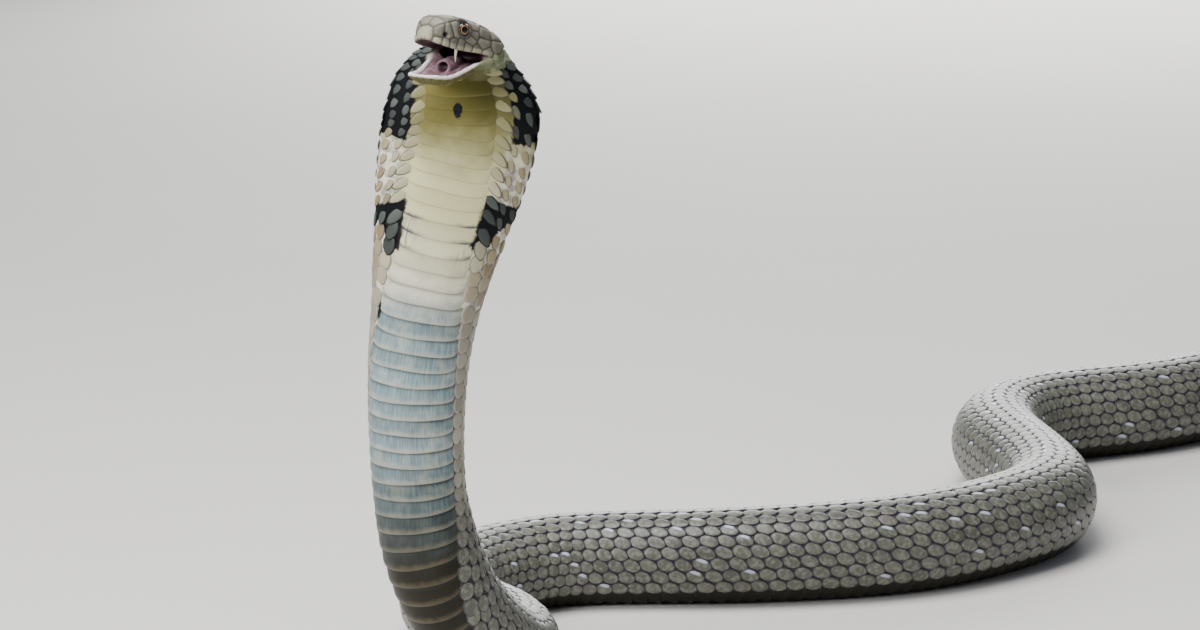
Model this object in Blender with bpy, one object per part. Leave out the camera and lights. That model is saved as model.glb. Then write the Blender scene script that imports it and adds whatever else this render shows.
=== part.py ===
"""King cobra rearing with its hood spread and its mouth open, life size.

One long smooth centre-line runs from the back of the head down the reared
neck, round the bend on the floor and along the lying body to the tail tip.
The flesh is lofted along it as lengths that meet face to face, with the broad
belly plates raised on each length.  The head, the lower jaw, the eyes and the
fang are lofted and turned in the head's own frame.

The origin is on the belly, where the reared body first lies on the floor.
+Z is up and the belly of the reared part looks along -Y.
"""

import math

import bmesh
import bpy
import numpy as np
from mathutils import Matrix, Vector

MM = 0.001

# ---------------------------------------------------------------- sizes, in mm
HEAD_LENGTH = 66.0             # snout to the back of the head
PIECE_GAP = 0.3                # left between two pieces that touch
FLOOR_PRESS = 1.3              # how far the belly is flattened by its weight

# Half width of the body, by distance along the centre-line from the top of the neck,
# which lies inside the back of the head.
HALF_WIDTH = (
    (0, 4.0), (2.5, 11.0), (6.4, 19.0), (10, 25.0), (16, 31.5), (24, 37.8),
    (32, 43.6), (41, 48.0), (55, 51.4), (77, 51.2), (95, 49.8), (114, 47.8), (132, 44.6),
    (151, 41.3), (170, 38.7), (188, 36.3), (206, 34.7), (228, 33.5), (256, 32.4),
    (286, 31.4), (317, 31.0), (344, 32.4), (376, 33.4), (434, 33.2), (800, 34.2),
    (1150, 37.2), (1500, 38.0), (1900, 36.0), (2300, 31.5), (2700, 25.0),
    (2830, 21.5), (3000, 17.0), (3200, 10.0), (3330, 4.6), (3386, 1.6),
)
# Height of the back above the centre-line, and depth of the belly below it.
BACK_HEIGHT = (
    (0, 3.0), (2.5, 8.0), (6.4, 11.5), (10, 13.5), (16, 15.5), (24, 16.5), (41, 16.5),
    (84, 16.5), (114, 18.5), (154, 23.0), (194, 28.0), (244, 30.5), (317, 30.5),
    (376, 32.0), (434, 32.6), (800, 34.0), (1150, 37.0), (1500, 37.8), (1900, 36.0),
    (2300, 31.5), (2700, 25.0), (2830, 21.5), (3000, 17.0), (3200, 10.0),
    (3330, 4.6), (3386, 1.6),
)
BELLY_DEPTH = (
    (0, 3.0), (2.5, 7.0), (6.4, 10.0), (10, 12.0), (16, 14.0), (24, 15.5), (41, 16.0),
    (84, 15.8), (114, 18.0), (154, 22.5), (194, 27.5), (244, 30.0), (317, 30.0),
    (376, 31.6), (434, 32.6), (800, 34.0), (1150, 37.0), (1500, 37.8), (1900, 36.0),
    (2300, 31.5), (2700, 25.0), (2830, 21.5), (3000, 17.0), (3200, 10.0),
    (3330, 4.6), (3386, 1.6),
)
# Angle from the middle of the belly to the ends of a belly plate, in degrees.
PLATE_REACH = (
    (0, 46), (40, 36), (90, 34), (150, 38), (190, 50), (250, 62), (330, 64),
    (420, 58), (3386, 55),
)
# Above 1, the sides of the section are drawn out thin, as a spread hood is.
HOOD_EDGE = ((0, 1.0), (40, 1.3), (110, 1.25), (200, 1.0), (3386, 1.0))

# Middle of the body along its way, from the top of the hood to the tail tip.
HOOD_TOP = ((-25.0, -125.0, 476.0), (-28.6, -120.0, 468.0), (-31.2, -114.5, 456.0),
            (-30.8, -112.8, 444.0))
REARED = ((-29.7, -112.5, 425.0), (-33.3, -110.0, 401.0), (-40.8, -106.5, 365.0),
          (-48.6, -103.0, 328.0), (-55.0, -100.0, 292.0), (-60.1, -98.0, 252.0),
          (-61.6, -97.0, 208.0), (-59.5, -96.0, 163.0))
BEND = ((-52.0, -93.0, 124.0), (-37.5, -82.0, 86.0), (-17.0, -59.0, 54.0),
        (-3.5, -30.0, 36.5))
LOOP = ((0.0, 0.0), (-10.0, 30.0), (-30.0, 60.0), (-46.0, 93.0), (-50.0, 130.0),
        (-39.0, 168.0), (-10.0, 201.0), (36.0, 225.0))
NEAR_RUN = ((134.0, 232.0), (253.0, 250.0), (314.0, 277.0), (364.0, 318.0),
            (404.0, 375.0))
FAR_RUN = ((408.0, 440.0), (395.0, 510.0), (386.0, 580.0), (405.0, 640.0),
           (450.0, 676.0), (510.0, 703.0), (575.0, 750.0))
TAIL_RUN = ((640.0, 802.0), (725.0, 850.0), (825.0, 846.0), (905.0, 785.0),
            (935.0, 690.0), (905.0, 600.0), (830.0, 540.0), (750.0, 490.0),
            (700.0, 415.0), (705.0, 325.0), (770.0, 262.0), (860.0, 248.0),
            (946.0, 276.0), (1016.0, 335.0), (1062.0, 415.0), (1100.0, 500.0),
            (1152.0, 572.0), (1220.0, 622.0))

# Where each length of the body ends, by distance from the head.
LENGTHS = (
    ("hood", 184.0), ("neck", 318.0), ("base_bend", 452.0), ("body_1", 580.0),
    ("body_2", 712.0), ("body_3", 880.0), ("body_4", 1050.0), ("body_5", 1200.0),
    ("body_6", 1360.0), ("body_7", 1520.0), ("body_8", 1680.0), ("body_9", 1840.0),
    ("body_10", 2000.0), ("body_11", 2160.0), ("body_12", 2320.0),
    ("body_13", 2500.0), ("body_14", 2680.0), ("tail_1", 2850.0),
    ("tail_2", 3050.0), ("tail_3", 3240.0), ("tail_4", 3386.0),
)

# Belly plates: their spacing, their raised rear edge and the slope behind it.
PLATE_STEP = ((0, 2.6), (14, 3.8), (34, 8.2), (60, 8.8), (150, 10.4), (250, 11.3),
              (420, 11.6), (470, 18.0), (3386, 18.0))
PLATE_RAISE = 1.0
PLATE_SLOPE = 1.4
PLATE_CELLS = 8                # cells across a belly plate
BACK_CELLS = 12                # cells round the rest of the section


# ------------------------------------------------------------ smooth functions
def smooth_knots(knots):
    """Return a smooth function through (place, value) pairs, with no overshoot."""
    xs = np.array([k[0] for k in knots], float)
    ys = np.array([k[1] for k in knots], float)
    step = np.diff(xs)
    slope = np.diff(ys) / step
    grad = np.zeros(len(xs))
    grad[0], grad[-1] = slope[0], slope[-1]
    for i in range(1, len(xs) - 1):
        if slope[i - 1] * slope[i] > 0:
            a = 2 * step[i] + step[i - 1]
            b = step[i] + 2 * step[i - 1]
            grad[i] = (a + b) / (a / slope[i - 1] + b / slope[i])

    def value(x):
        x = min(max(x, xs[0]), xs[-1])
        i = min(int(np.searchsorted(xs, x, side="right")) - 1, len(step) - 1)
        t = (x - xs[i]) / step[i]
        return float(
            (1 + 2 * t) * (1 - t) ** 2 * ys[i]
            + t * (1 - t) ** 2 * step[i] * grad[i]
            + t * t * (3 - 2 * t) * ys[i + 1]
            + t * t * (t - 1) * step[i] * grad[i + 1]
        )

    return value


half_width = smooth_knots(HALF_WIDTH)
back_height = smooth_knots(BACK_HEIGHT)
belly_depth = smooth_knots(BELLY_DEPTH)
plate_reach = smooth_knots(PLATE_REACH)
plate_step = smooth_knots(PLATE_STEP)
hood_edge = smooth_knots(HOOD_EDGE)


def smoothstep(low, high, x):
    """Go smoothly from 0 at low to 1 at high, whichever of them is larger."""
    t = min(max((x - low) / (high - low), 0.0), 1.0)
    return t * t * (3 - 2 * t)


# -------------------------------------------------------------- head's own frame
HEAD_YAW = math.radians(37.0)      # the snout is turned to the snake's right
HEAD_PITCH = math.radians(20.0)    # and lifted
HEAD_FORWARD = Vector((
    -math.sin(HEAD_YAW) * math.cos(HEAD_PITCH),
    -math.cos(HEAD_YAW) * math.cos(HEAD_PITCH),
    math.sin(HEAD_PITCH),
))
HEAD_LEFT = Vector((math.cos(HEAD_YAW), -math.sin(HEAD_YAW), 0.0))
HEAD_UP = HEAD_FORWARD.cross(HEAD_LEFT)
SNOUT_TIP = Vector((-51.5, -162.0, 482.0))
HEAD_BACK = SNOUT_TIP - HEAD_FORWARD * HEAD_LENGTH


def head_point(x, y, z):
    """Turn a place in the head's frame, in mm, into a world place in mm."""
    return HEAD_BACK + HEAD_FORWARD * x + HEAD_LEFT * y + HEAD_UP * z


# ------------------------------------------------------------------ centre-line
class CentreLine:
    """A smooth curve through the route's points, read by distance along it."""

    SAMPLES_PER_MM = 1.0

    def __init__(self, points):
        pts = np.array(points, float)
        chord = np.sqrt(np.linalg.norm(np.diff(pts, axis=0), axis=1))
        knots = np.concatenate([[0.0], np.cumsum(chord * 6.0)])
        count = len(pts)
        step = np.diff(knots)
        matrix = np.zeros((count, count))
        right = np.zeros((count, 3))
        matrix[0, 0] = matrix[-1, -1] = 1.0
        for i in range(1, count - 1):
            matrix[i, i - 1] = step[i - 1]
            matrix[i, i] = 2 * (step[i - 1] + step[i])
            matrix[i, i + 1] = step[i]
            right[i] = 6 * (
                (pts[i + 1] - pts[i]) / step[i] - (pts[i] - pts[i - 1]) / step[i - 1]
            )
        bend = np.linalg.solve(matrix, right)
        fine = []
        for i in range(count - 1):
            h = step[i]
            for t in np.linspace(0, h, 120, endpoint=False):
                a = (h - t) / h
                b = t / h
                fine.append(
                    a * pts[i] + b * pts[i + 1]
                    + ((a ** 3 - a) * bend[i] + (b ** 3 - b) * bend[i + 1]) * h * h / 6
                )
        fine.append(pts[-1])
        fine = np.array(fine)
        along = np.concatenate(
            [[0.0], np.cumsum(np.linalg.norm(np.diff(fine, axis=0), axis=1))]
        )
        self.length = float(along[-1])
        self.places = np.linspace(0, self.length, int(self.length * self.SAMPLES_PER_MM))
        self.points = np.stack(
            [np.interp(self.places, along, fine[:, k]) for k in range(3)], axis=1
        )
        self.slopes = np.gradient(self.points, self.places, axis=0)

    def point(self, s):
        return Vector([np.interp(s, self.places, self.points[:, k]) for k in range(3)])

    def tangent(self, s):
        return Vector(
            [np.interp(s, self.places, self.slopes[:, k]) for k in range(3)]
        ).normalized()


def route_points():
    """The route, with the lying part at the height of its own belly."""
    points = list(HOOD_TOP + REARED + BEND)
    flat = LOOP + NEAR_RUN + FAR_RUN + TAIL_RUN
    reached = sum(
        math.dist(points[i], points[i + 1]) for i in range(len(points) - 1)
    )
    last = points[-1]
    for x, y in flat:
        reached += math.hypot(x - last[0], y - last[1])
        last = (x, y)
        points.append((x, y, belly_depth(reached) - FLOOR_PRESS))
    return points


LINE = CentreLine(route_points())

# The belly of the reared part looks along -Y, a little to the snake's right low
# down; on the floor it looks down.
HOOD_TURN = ((0, 3.0), (120, 2.0), (200, 10.0), (280, 15.0), (400, 15.0))
hood_turn = smooth_knots(HOOD_TURN)
HOOD_LEVEL_START = 30.0
HOOD_LEVEL_END = 90.0
LYING_START = 250.0
LYING_END = 420.0


def section_axis(s):
    """Unit direction across the body's sections; the hood's are kept level."""
    level = smoothstep(HOOD_LEVEL_END, HOOD_LEVEL_START, s)
    return LINE.tangent(s).lerp(Vector((0, 0, -1)), level).normalized()


def belly_direction(s):
    """Unit direction from the centre-line out through the middle of the belly."""
    turn = math.radians(hood_turn(s))
    front = Vector((-math.sin(turn), -math.cos(turn), 0.0))
    lying = smoothstep(LYING_START, LYING_END, s)
    wanted = front.lerp(Vector((0, 0, -1)), lying)
    axis = section_axis(s)
    return (wanted - axis * wanted.dot(axis)).normalized()


def section_point(s, angle, raised=0.0):
    """A place on the body: angle 0 is mid belly, 90 the snake's left, 180 mid back."""
    centre = LINE.point(s)
    belly = belly_direction(s)
    left = belly.cross(section_axis(s))
    width = half_width(s) + raised
    cosine = math.cos(angle)
    depth = (belly_depth(s) if cosine > 0 else back_height(s)) + raised
    thin = hood_edge(s)
    place = (
        centre
        + left * width * math.sin(angle)
        + belly * depth * math.copysign(abs(cosine) ** thin, cosine)
    )
    place.z = max(place.z, 0.0)
    return place


# ---------------------------------------------------------------- mesh builders
def finish_object(name, mesh_builder, colour, roughness):
    """Make one named object from a filled bmesh, with its own material."""
    mesh = bpy.data.meshes.new(name)
    bmesh.ops.recalc_face_normals(mesh_builder, faces=mesh_builder.faces)
    mesh_builder.to_mesh(mesh)
    mesh_builder.free()
    material = bpy.data.materials.new(name + "_finish")
    material.use_nodes = True
    shader = material.node_tree.nodes["Principled BSDF"]
    shader.inputs["Base Color"].default_value = (*colour, 1.0)
    shader.inputs["Roughness"].default_value = roughness
    shader.inputs["Metallic"].default_value = 0.0
    mesh.materials.append(material)
    mesh.shade_smooth()
    mesh.set_sharp_from_angle(angle=math.radians(22))
    thing = bpy.data.objects.new(name, mesh)
    bpy.context.scene.collection.objects.link(thing)
    return thing


def soften(thing, levels=1):
    """Round a coarse form with a subdivision surface."""
    modifier = thing.modifiers.new("round", "SUBSURF")
    modifier.levels = levels
    modifier.render_levels = levels
    return thing


def keep_edges(mesh, x):
    """Keep the edges of the head's section at x where they are under rounding."""
    crease = mesh.edges.layers.float.new("crease_edge")
    for edge in mesh.edges:
        forward = [(v.co / MM - HEAD_BACK).dot(HEAD_FORWARD) for v in edge.verts]
        if max(abs(f - x) for f in forward) < 0.01:
            edge[crease] = 1.0


def swell(mesh, grow):
    """Move every face of a closed mesh out by about grow, in mm."""
    if grow:
        bmesh.ops.recalc_face_normals(mesh, faces=mesh.faces)
        mesh.normal_update()
        for vert in mesh.verts:
            vert.co += vert.normal * grow * 1.25 * MM


def plate_places(start, end):
    """Places of the belly plates' front edges between two ends of a length."""
    span = end - start
    step = plate_step((start + end) / 2)
    count = max(2, round(span / step))
    weights = [plate_step(start + span * (i + 0.5) / count) for i in range(count)]
    scale = span / sum(weights)
    places = [start]
    for weight in weights:
        places.append(places[-1] + weight * scale)
    return places


def body_length(name, start, end, colour):
    """Loft one length of the body, with its belly plates raised to the rear."""
    mesh = bmesh.new()
    places = plate_places(start, end)
    last = len(places) - 1
    fronts, rears, backs = [], [], []
    for i, s in enumerate(places):
        s = s if i < last else end
        reach = math.radians(plate_reach(s))
        edge_right = mesh.verts.new(section_point(s, -reach) * MM)
        edge_left = mesh.verts.new(section_point(s, reach) * MM)
        angles = [reach * (2 * k / PLATE_CELLS - 1) for k in range(1, PLATE_CELLS)]
        front = [edge_right]
        front += [mesh.verts.new(section_point(s, a) * MM) for a in angles]
        front.append(edge_left)
        fronts.append(front)
        if i > 0:
            rear = [edge_right]
            s_rear = s - (PLATE_SLOPE if i < last else 0.0)
            for a in angles:
                fade = 1.0 - 0.35 * abs(a) / reach
                raised = min(PLATE_RAISE, 0.06 * half_width(s)) * fade
                rear.append(mesh.verts.new(section_point(s_rear, a, raised) * MM))
            rear.append(edge_left)
            rears.append(rear)
        turn = 2 * math.pi - 2 * reach
        back = [edge_left]
        back += [
            mesh.verts.new(section_point(s, reach + turn * k / BACK_CELLS) * MM)
            for k in range(1, BACK_CELLS)
        ]
        back.append(edge_right)
        backs.append(back)
    for vert in fronts[last][1:-1]:
        mesh.verts.remove(vert)
    for i in range(last):
        for k in range(PLATE_CELLS):
            mesh.faces.new((fronts[i][k], fronts[i][k + 1], rears[i][k + 1], rears[i][k]))
        if i + 1 < last:
            low, high = rears[i], fronts[i + 1]
            mesh.faces.new((low[0], low[1], high[1]))
            for k in range(1, PLATE_CELLS - 1):
                mesh.faces.new((low[k], low[k + 1], high[k + 1], high[k]))
            mesh.faces.new((low[-2], low[-1], high[-2]))
        for k in range(BACK_CELLS):
            mesh.faces.new(
                (backs[i][k], backs[i][k + 1], backs[i + 1][k + 1], backs[i + 1][k])
            )
    mesh.faces.new(fronts[0] + backs[0][1:-1])
    mesh.faces.new(rears[-1] + backs[last][1:-1])
    return finish_object(name, mesh, colour, 0.45)


# ------------------------------------------------------------------------- head
MOUTH_CORNER = 26.0                # forward of the back of the head
# Sections of the head: forward place, half width, top, brow height, lip height.
HEAD_WIDTH = ((0, 4.0), (1, 9.0), (4, 16.5), (9, 22.2), (15, 25.0), (22, 24.8),
              (30, 22.4), (37, 19.6), (44, 17.2), (51, 15.8), (57, 14.2), (61, 12.2),
              (64, 9.2), (65.5, 6.4), (66, 4.4))
HEAD_TOP = ((0, 1.0), (1, 4.0), (4, 8.6), (9, 12.2), (16, 15.2), (24, 17.0), (32, 18.2),
            (44, 18.0), (51, 16.6), (57, 14.8), (61, 12.8), (64, 9.8), (65.5, 7.0),
            (66, 5.0))
HEAD_LIP = ((0, -2.0), (9, -2.8), (18, -3.0), (26, -3.2), (34, -3.6), (44, -4.8),
            (54, -5.4), (61, -5.0), (65, -4.0), (66, -3.0))
HEAD_THROAT = ((0, -4.0), (1, -6.0), (4, -8.5), (9, -11.0), (16, -13.5), (26, -16.5))
head_width = smooth_knots(HEAD_WIDTH)
head_top = smooth_knots(HEAD_TOP)
head_lip = smooth_knots(HEAD_LIP)
head_throat = smooth_knots(HEAD_THROAT)

# Round one half of a head section: share of the half width, share of the height
# from the lip (0) to the top (1).
CROWN = ((0.0, 1.0), (0.34, 0.985), (0.66, 0.93), (0.86, 0.80), (0.965, 0.60),
         (1.0, 0.38), (0.985, 0.16), (0.95, 0.0))
LIP_THICK = 2.6
PALATE_RISE = 4.0
THROAT = ((0.99, 0.10), (0.93, 0.42), (0.74, 0.78), (0.40, 0.96), (0.0, 1.0))
HEAD_STATIONS = (0, 1, 4, 9, 14.5, 20, 26, 31, 36, 40, 44, 48, 52, 56, 59.5, 62.5, 64.8, 66)


def mirrored_ring(mesh, x, half):
    """Add the vertices of a closed ring at x from its left half, top to bottom."""
    left = [mesh.verts.new(head_point(x, y, z) * MM) for y, z in half]
    right = [mesh.verts.new(head_point(x, -y, z) * MM) for y, z in half[1:-1]]
    return left + right[::-1]


def join_rings(mesh, first, second):
    """Skin two rings that have as many vertices."""
    count = len(first)
    for k in range(count):
        following = (k + 1) % count
        mesh.faces.new((first[k], first[following], second[following], second[k]))


def crown_half(x, lip):
    """Left half of the upper part of a head section, from the top to the lip.

    The snout is squarer than the back of the head.
    """
    width, top = head_width(x), head_top(x)
    square = 1.0 - 0.45 * smoothstep(44.0, 58.0, x)
    return [(width * a, top - (top - lip) * (1.0 - b) * (square if b > 0.5 else 1.0))
            for a, b in CROWN]


def upper_half(x):
    """Left half of a section of the open head: crown, lip and palate."""
    lip = head_lip(x)
    edge = head_width(x) * CROWN[-1][0]
    rise = PALATE_RISE * smoothstep(66.5, 58.0, x) + 0.4
    inner = max(edge - LIP_THICK, 0.45 * edge)
    return crown_half(x, lip) + [
        (inner, lip + 0.25 * rise),
        (inner * 0.8, lip + 0.85 * rise),
        (inner * 0.4, lip + rise),
        (0.0, lip + rise),
    ]


def cheek_half(x):
    """Left half of a section behind the mouth: crown, cheek and throat."""
    width, lip, low = head_width(x), head_lip(x), head_throat(x)
    return crown_half(x, lip)[:-1] + [
        (width * a, lip + (low - lip) * b) for a, b in THROAT
    ]


def make_head(grow=0.0):
    """The upper part of the head, with the cheeks behind the mouth's corners.

    With grow it is that much larger all round, to cut room for the head.
    """
    mesh = bmesh.new()
    rings = []
    for x in HEAD_STATIONS:
        if x <= MOUTH_CORNER:
            rings.append(mirrored_ring(mesh, x, cheek_half(x)))
        if x >= MOUTH_CORNER:
            rings.append(mirrored_ring(mesh, x, upper_half(x)))
    for first, second in zip(rings, rings[1:]):
        join_rings(mesh, first, second)
    mesh.faces.new(rings[0])
    mesh.faces.new(rings[-1])
    bmesh.ops.remove_doubles(mesh, verts=mesh.verts, dist=0.001 * MM)
    keep_edges(mesh, MOUTH_CORNER)
    swell(mesh, grow)
    name = "head_room" if grow else "head"
    return soften(finish_object(name, mesh, (0.33, 0.31, 0.22), 0.4))


# ------------------------------------------------------------------- lower jaw
JAW_RIM = ((26, -3.8), (30, -6.6), (36, -11.6), (42, -16.6), (48, -20.6), (54, -23.0),
           (60, -24.2), (62, -24.6))
JAW_WIDTH = ((26, 23.4), (30, 22.0), (36, 19.4), (44, 17.0), (50, 15.8), (55, 14.4),
             (59, 12.2), (61.2, 9.4), (62, 7.0))
JAW_DEPTH = ((26, 13.0), (34, 11.4), (44, 9.0), (52, 7.0), (58, 5.0), (62, 2.4))
JAW_FLOOR = 3.2
jaw_rim = smooth_knots(JAW_RIM)
jaw_width = smooth_knots(JAW_WIDTH)
jaw_depth = smooth_knots(JAW_DEPTH)
JAW_STATIONS = (26, 30, 34, 39, 44, 48, 52, 55.5, 58.5, 60.6, 62)


def jaw_half(x):
    """Left half of a section of the lower jaw: mouth floor, lip, side and chin."""
    width, depth = jaw_width(x), jaw_depth(x)
    rim = jaw_rim(x)
    inner = max(width - LIP_THICK, 0.5 * width)
    floor = rim - JAW_FLOOR * smoothstep(62.5, 56.0, x) - 0.3
    return [
        (0.0, floor), (inner * 0.6, floor), (inner * 0.92, floor + 0.5),
        (inner, rim - 0.3), (width * 0.96, rim), (width, rim - 0.25 * depth),
        (width * 0.93, rim - 0.6 * depth), (width * 0.68, rim - 0.9 * depth),
        (width * 0.3, rim - depth), (0.0, rim - depth),
    ]


def make_lower_jaw(grow=0.0):
    """The lower jaw, dropped open in front of the corners of the mouth."""
    mesh = bmesh.new()
    rings = [
        mirrored_ring(mesh, x + (PIECE_GAP if x == MOUTH_CORNER else 0), jaw_half(x))
        for x in JAW_STATIONS
    ]
    for first, second in zip(rings, rings[1:]):
        join_rings(mesh, first, second)
    mesh.faces.new(rings[0])
    mesh.faces.new(rings[-1])
    keep_edges(mesh, MOUTH_CORNER + PIECE_GAP)
    swell(mesh, grow)
    name = "jaw_room" if grow else "lower_jaw"
    return soften(finish_object(name, mesh, (0.55, 0.5, 0.3), 0.4))


# --------------------------------------------------- eyes, fang and windpipe
EYE_PLACE = (46.6, 12.9, 9.0)
EYE_RADIUS = 5.0
SOCKET_RADIUS = EYE_RADIUS + PIECE_GAP
FANG_PLACE = (44.4, 10.0, -0.6)
FANG_LENGTH = 11.0
FANG_RADIUS = 1.3
NOSTRIL_PLACE = (60.0, 12.4, 2.6)
NOSTRIL_RADIUS = 1.5
# Forward place, radius and lift above the jaw's floor, back to front.
WINDPIPE = ((30, 2.6, -0.6), (36, 3.4, 0.4), (42, 3.7, 1.0), (47, 3.5, 1.4),
            (48.2, 2.6, 1.4), (47.2, 1.7, 1.4), (43.5, 1.3, 1.2))


def ball(name, centre, radius, colour=(0.03, 0.02, 0.01), sides=16):
    """A round closed ball."""
    mesh = bmesh.new()
    bmesh.ops.create_uvsphere(
        mesh, u_segments=sides, v_segments=sides // 2, radius=radius * MM,
        matrix=Matrix.Translation(centre * MM),
    )
    return finish_object(name, mesh, colour, 0.1)


def fang(name):
    """The fang that shows, curved back and sunk a little into the palate's lip."""
    mesh = bmesh.new()
    x, y, z = FANG_PLACE
    rings = []
    steps = 5
    for i in range(steps + 1):
        t = i / steps
        radius = FANG_RADIUS * (1 - t) ** 0.8 + 0.12
        middle = (x - 2.2 * t * t, y, z - FANG_LENGTH * t)
        rings.append([
            mesh.verts.new(head_point(
                middle[0] + radius * math.cos(a), middle[1] + radius * math.sin(a),
                middle[2],
            ) * MM)
            for a in (2 * math.pi * k / 8 for k in range(8))
        ])
    for first, second in zip(rings, rings[1:]):
        join_rings(mesh, first, second)
    mesh.faces.new(rings[0])
    mesh.faces.new(rings[-1])
    return finish_object(name, mesh, (0.9, 0.87, 0.75), 0.2)


def combine(target, others, operation):
    """Join the others to the target, or cut them out, with one Boolean."""
    group = bpy.data.collections.new("others")
    for other in others:
        group.objects.link(other)
    modifier = target.modifiers.new("combine", "BOOLEAN")
    modifier.operation = operation
    modifier.operand_type = "COLLECTION"
    modifier.collection = group
    modifier.solver = "EXACT"
    graph = bpy.context.evaluated_depsgraph_get()
    mesh = bpy.data.meshes.new_from_object(target.evaluated_get(graph))
    target.modifiers.clear()
    target.data = mesh
    for other in others:
        bpy.data.objects.remove(other, do_unlink=True)
    bpy.data.collections.remove(group)


def windpipe():
    """The low tube of the windpipe's mouth, lying on the floor of the lower jaw."""
    mesh = bmesh.new()
    rings = []
    for x, radius, lift in WINDPIPE:
        middle = jaw_rim(x) - JAW_FLOOR + lift
        rings.append([
            mesh.verts.new(head_point(
                x, 1.25 * radius * math.sin(a), middle + radius * math.cos(a)) * MM)
            for a in (2 * math.pi * k / 10 for k in range(10))
        ])
    for first, second in zip(rings, rings[1:]):
        join_rings(mesh, first, second)
    mesh.faces.new(rings[0])
    mesh.faces.new(rings[-1])
    return finish_object("windpipe", mesh, (0.6, 0.4, 0.4), 0.3)


def build():
    for thing in list(bpy.data.objects):
        bpy.data.objects.remove(thing, do_unlink=True)
    head = make_head()
    combine(make_lower_jaw(), [windpipe()], "UNION")
    x, y, z = EYE_PLACE
    holes = []
    for name, side in (("eye_left", 1), ("eye_right", -1)):
        ball(name, head_point(x, y * side, z), EYE_RADIUS)
        holes.append(ball("socket", head_point(x, y * side, z), SOCKET_RADIUS))
        holes.append(ball(
            "nostril", head_point(NOSTRIL_PLACE[0], NOSTRIL_PLACE[1] * side, NOSTRIL_PLACE[2]),
            NOSTRIL_RADIUS, sides=8,
        ))
    combine(head, holes, "DIFFERENCE")
    combine(fang("fang"), [make_head(PIECE_GAP)], "DIFFERENCE")
    start = 0.0
    for name, end in LENGTHS:
        if name == LENGTHS[-1][0]:
            end = LINE.length
        shade = (0.33, 0.33, 0.27) if name not in ("hood", "neck") else (0.5, 0.48, 0.36)
        length = body_length(name, start + (PIECE_GAP if start else 0.0), end, shade)
        if name == "hood":
            rooms = [make_head(PIECE_GAP), make_lower_jaw(PIECE_GAP)]
            combine(length, rooms, "DIFFERENCE")
        start = end


build()
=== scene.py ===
"""Finish of a life-size king cobra: skin, head shields, scales, belly plates, eyes and fang.

The snake lies along one centre-line, and every place on its body is told by two
numbers: the distance along that line and the angle round it, 0 at the middle of
the belly and positive on the snake's left.  The skin is one closed mesh.  Over it
lie the scales, set by one Geometry Nodes tree, and the broad belly plates.
Lengths in the tables are millimetres.
"""

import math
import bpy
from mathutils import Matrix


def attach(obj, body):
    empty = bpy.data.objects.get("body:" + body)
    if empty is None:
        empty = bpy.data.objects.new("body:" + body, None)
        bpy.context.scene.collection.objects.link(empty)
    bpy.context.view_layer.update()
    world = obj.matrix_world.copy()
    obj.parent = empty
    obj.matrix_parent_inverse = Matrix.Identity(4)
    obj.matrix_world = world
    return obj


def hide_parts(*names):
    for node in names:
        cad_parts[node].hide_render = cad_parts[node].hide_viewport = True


bl_info = {
    "name": "King Cobra Finish",
    "version": (1, 0, 0),
    "blender": (4, 5, 0),
    "location": "3D View > Sidebar > Cobra",
    "description": "Dresses a king cobra's solids with skin, scales, eyes and markings",
    "category": "Object",
}

from types import SimpleNamespace

import bmesh
import bpy
import numpy as np
from bpy.props import FloatProperty, FloatVectorProperty, IntProperty, PointerProperty
from mathutils import Vector
from mathutils.bvhtree import BVHTree

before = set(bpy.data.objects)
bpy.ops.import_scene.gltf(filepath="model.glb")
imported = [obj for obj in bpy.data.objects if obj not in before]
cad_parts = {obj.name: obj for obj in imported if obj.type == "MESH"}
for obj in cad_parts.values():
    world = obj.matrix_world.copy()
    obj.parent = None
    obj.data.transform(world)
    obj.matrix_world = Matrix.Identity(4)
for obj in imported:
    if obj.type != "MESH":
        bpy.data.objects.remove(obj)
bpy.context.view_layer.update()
BODY = "root"
FLESH = sorted(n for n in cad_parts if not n.startswith(("eye", "fang")))
MM = 0.001


# ------------------------------------------------------------------ number helpers
def smooth_knots(knots):
    """A smooth function through (place, value) pairs, with no overshoot, for arrays."""
    xs, ys = np.array(knots, float).T
    step = np.diff(xs)
    slope = np.diff(ys) / step
    grad = np.zeros(len(xs))
    grad[0], grad[-1] = slope[0], slope[-1]
    for i in range(1, len(xs) - 1):
        if slope[i - 1] * slope[i] > 0:
            a = 2 * step[i] + step[i - 1]
            b = step[i] + 2 * step[i - 1]
            grad[i] = (a + b) / (a / slope[i - 1] + b / slope[i])

    def value(x):
        x = np.clip(x, xs[0], xs[-1])
        i = np.clip(np.searchsorted(xs, x, side="right") - 1, 0, len(step) - 1)
        t = (x - xs[i]) / step[i]
        return (
            (1 + 2 * t) * (1 - t) ** 2 * ys[i]
            + t * (1 - t) ** 2 * step[i] * grad[i]
            + t * t * (3 - 2 * t) * ys[i + 1]
            + t * t * (t - 1) * step[i] * grad[i + 1]
        )

    return value


def smoothstep(low, high, x):
    """Go smoothly from 0 at low to 1 at high, whichever of them is larger."""
    t = np.clip((x - low) / (high - low), 0.0, 1.0)
    return t * t * (3 - 2 * t)


def unit(vectors):
    """The same directions, one long."""
    return vectors / np.maximum(np.linalg.norm(vectors, axis=-1, keepdims=True), 1e-9)


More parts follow.
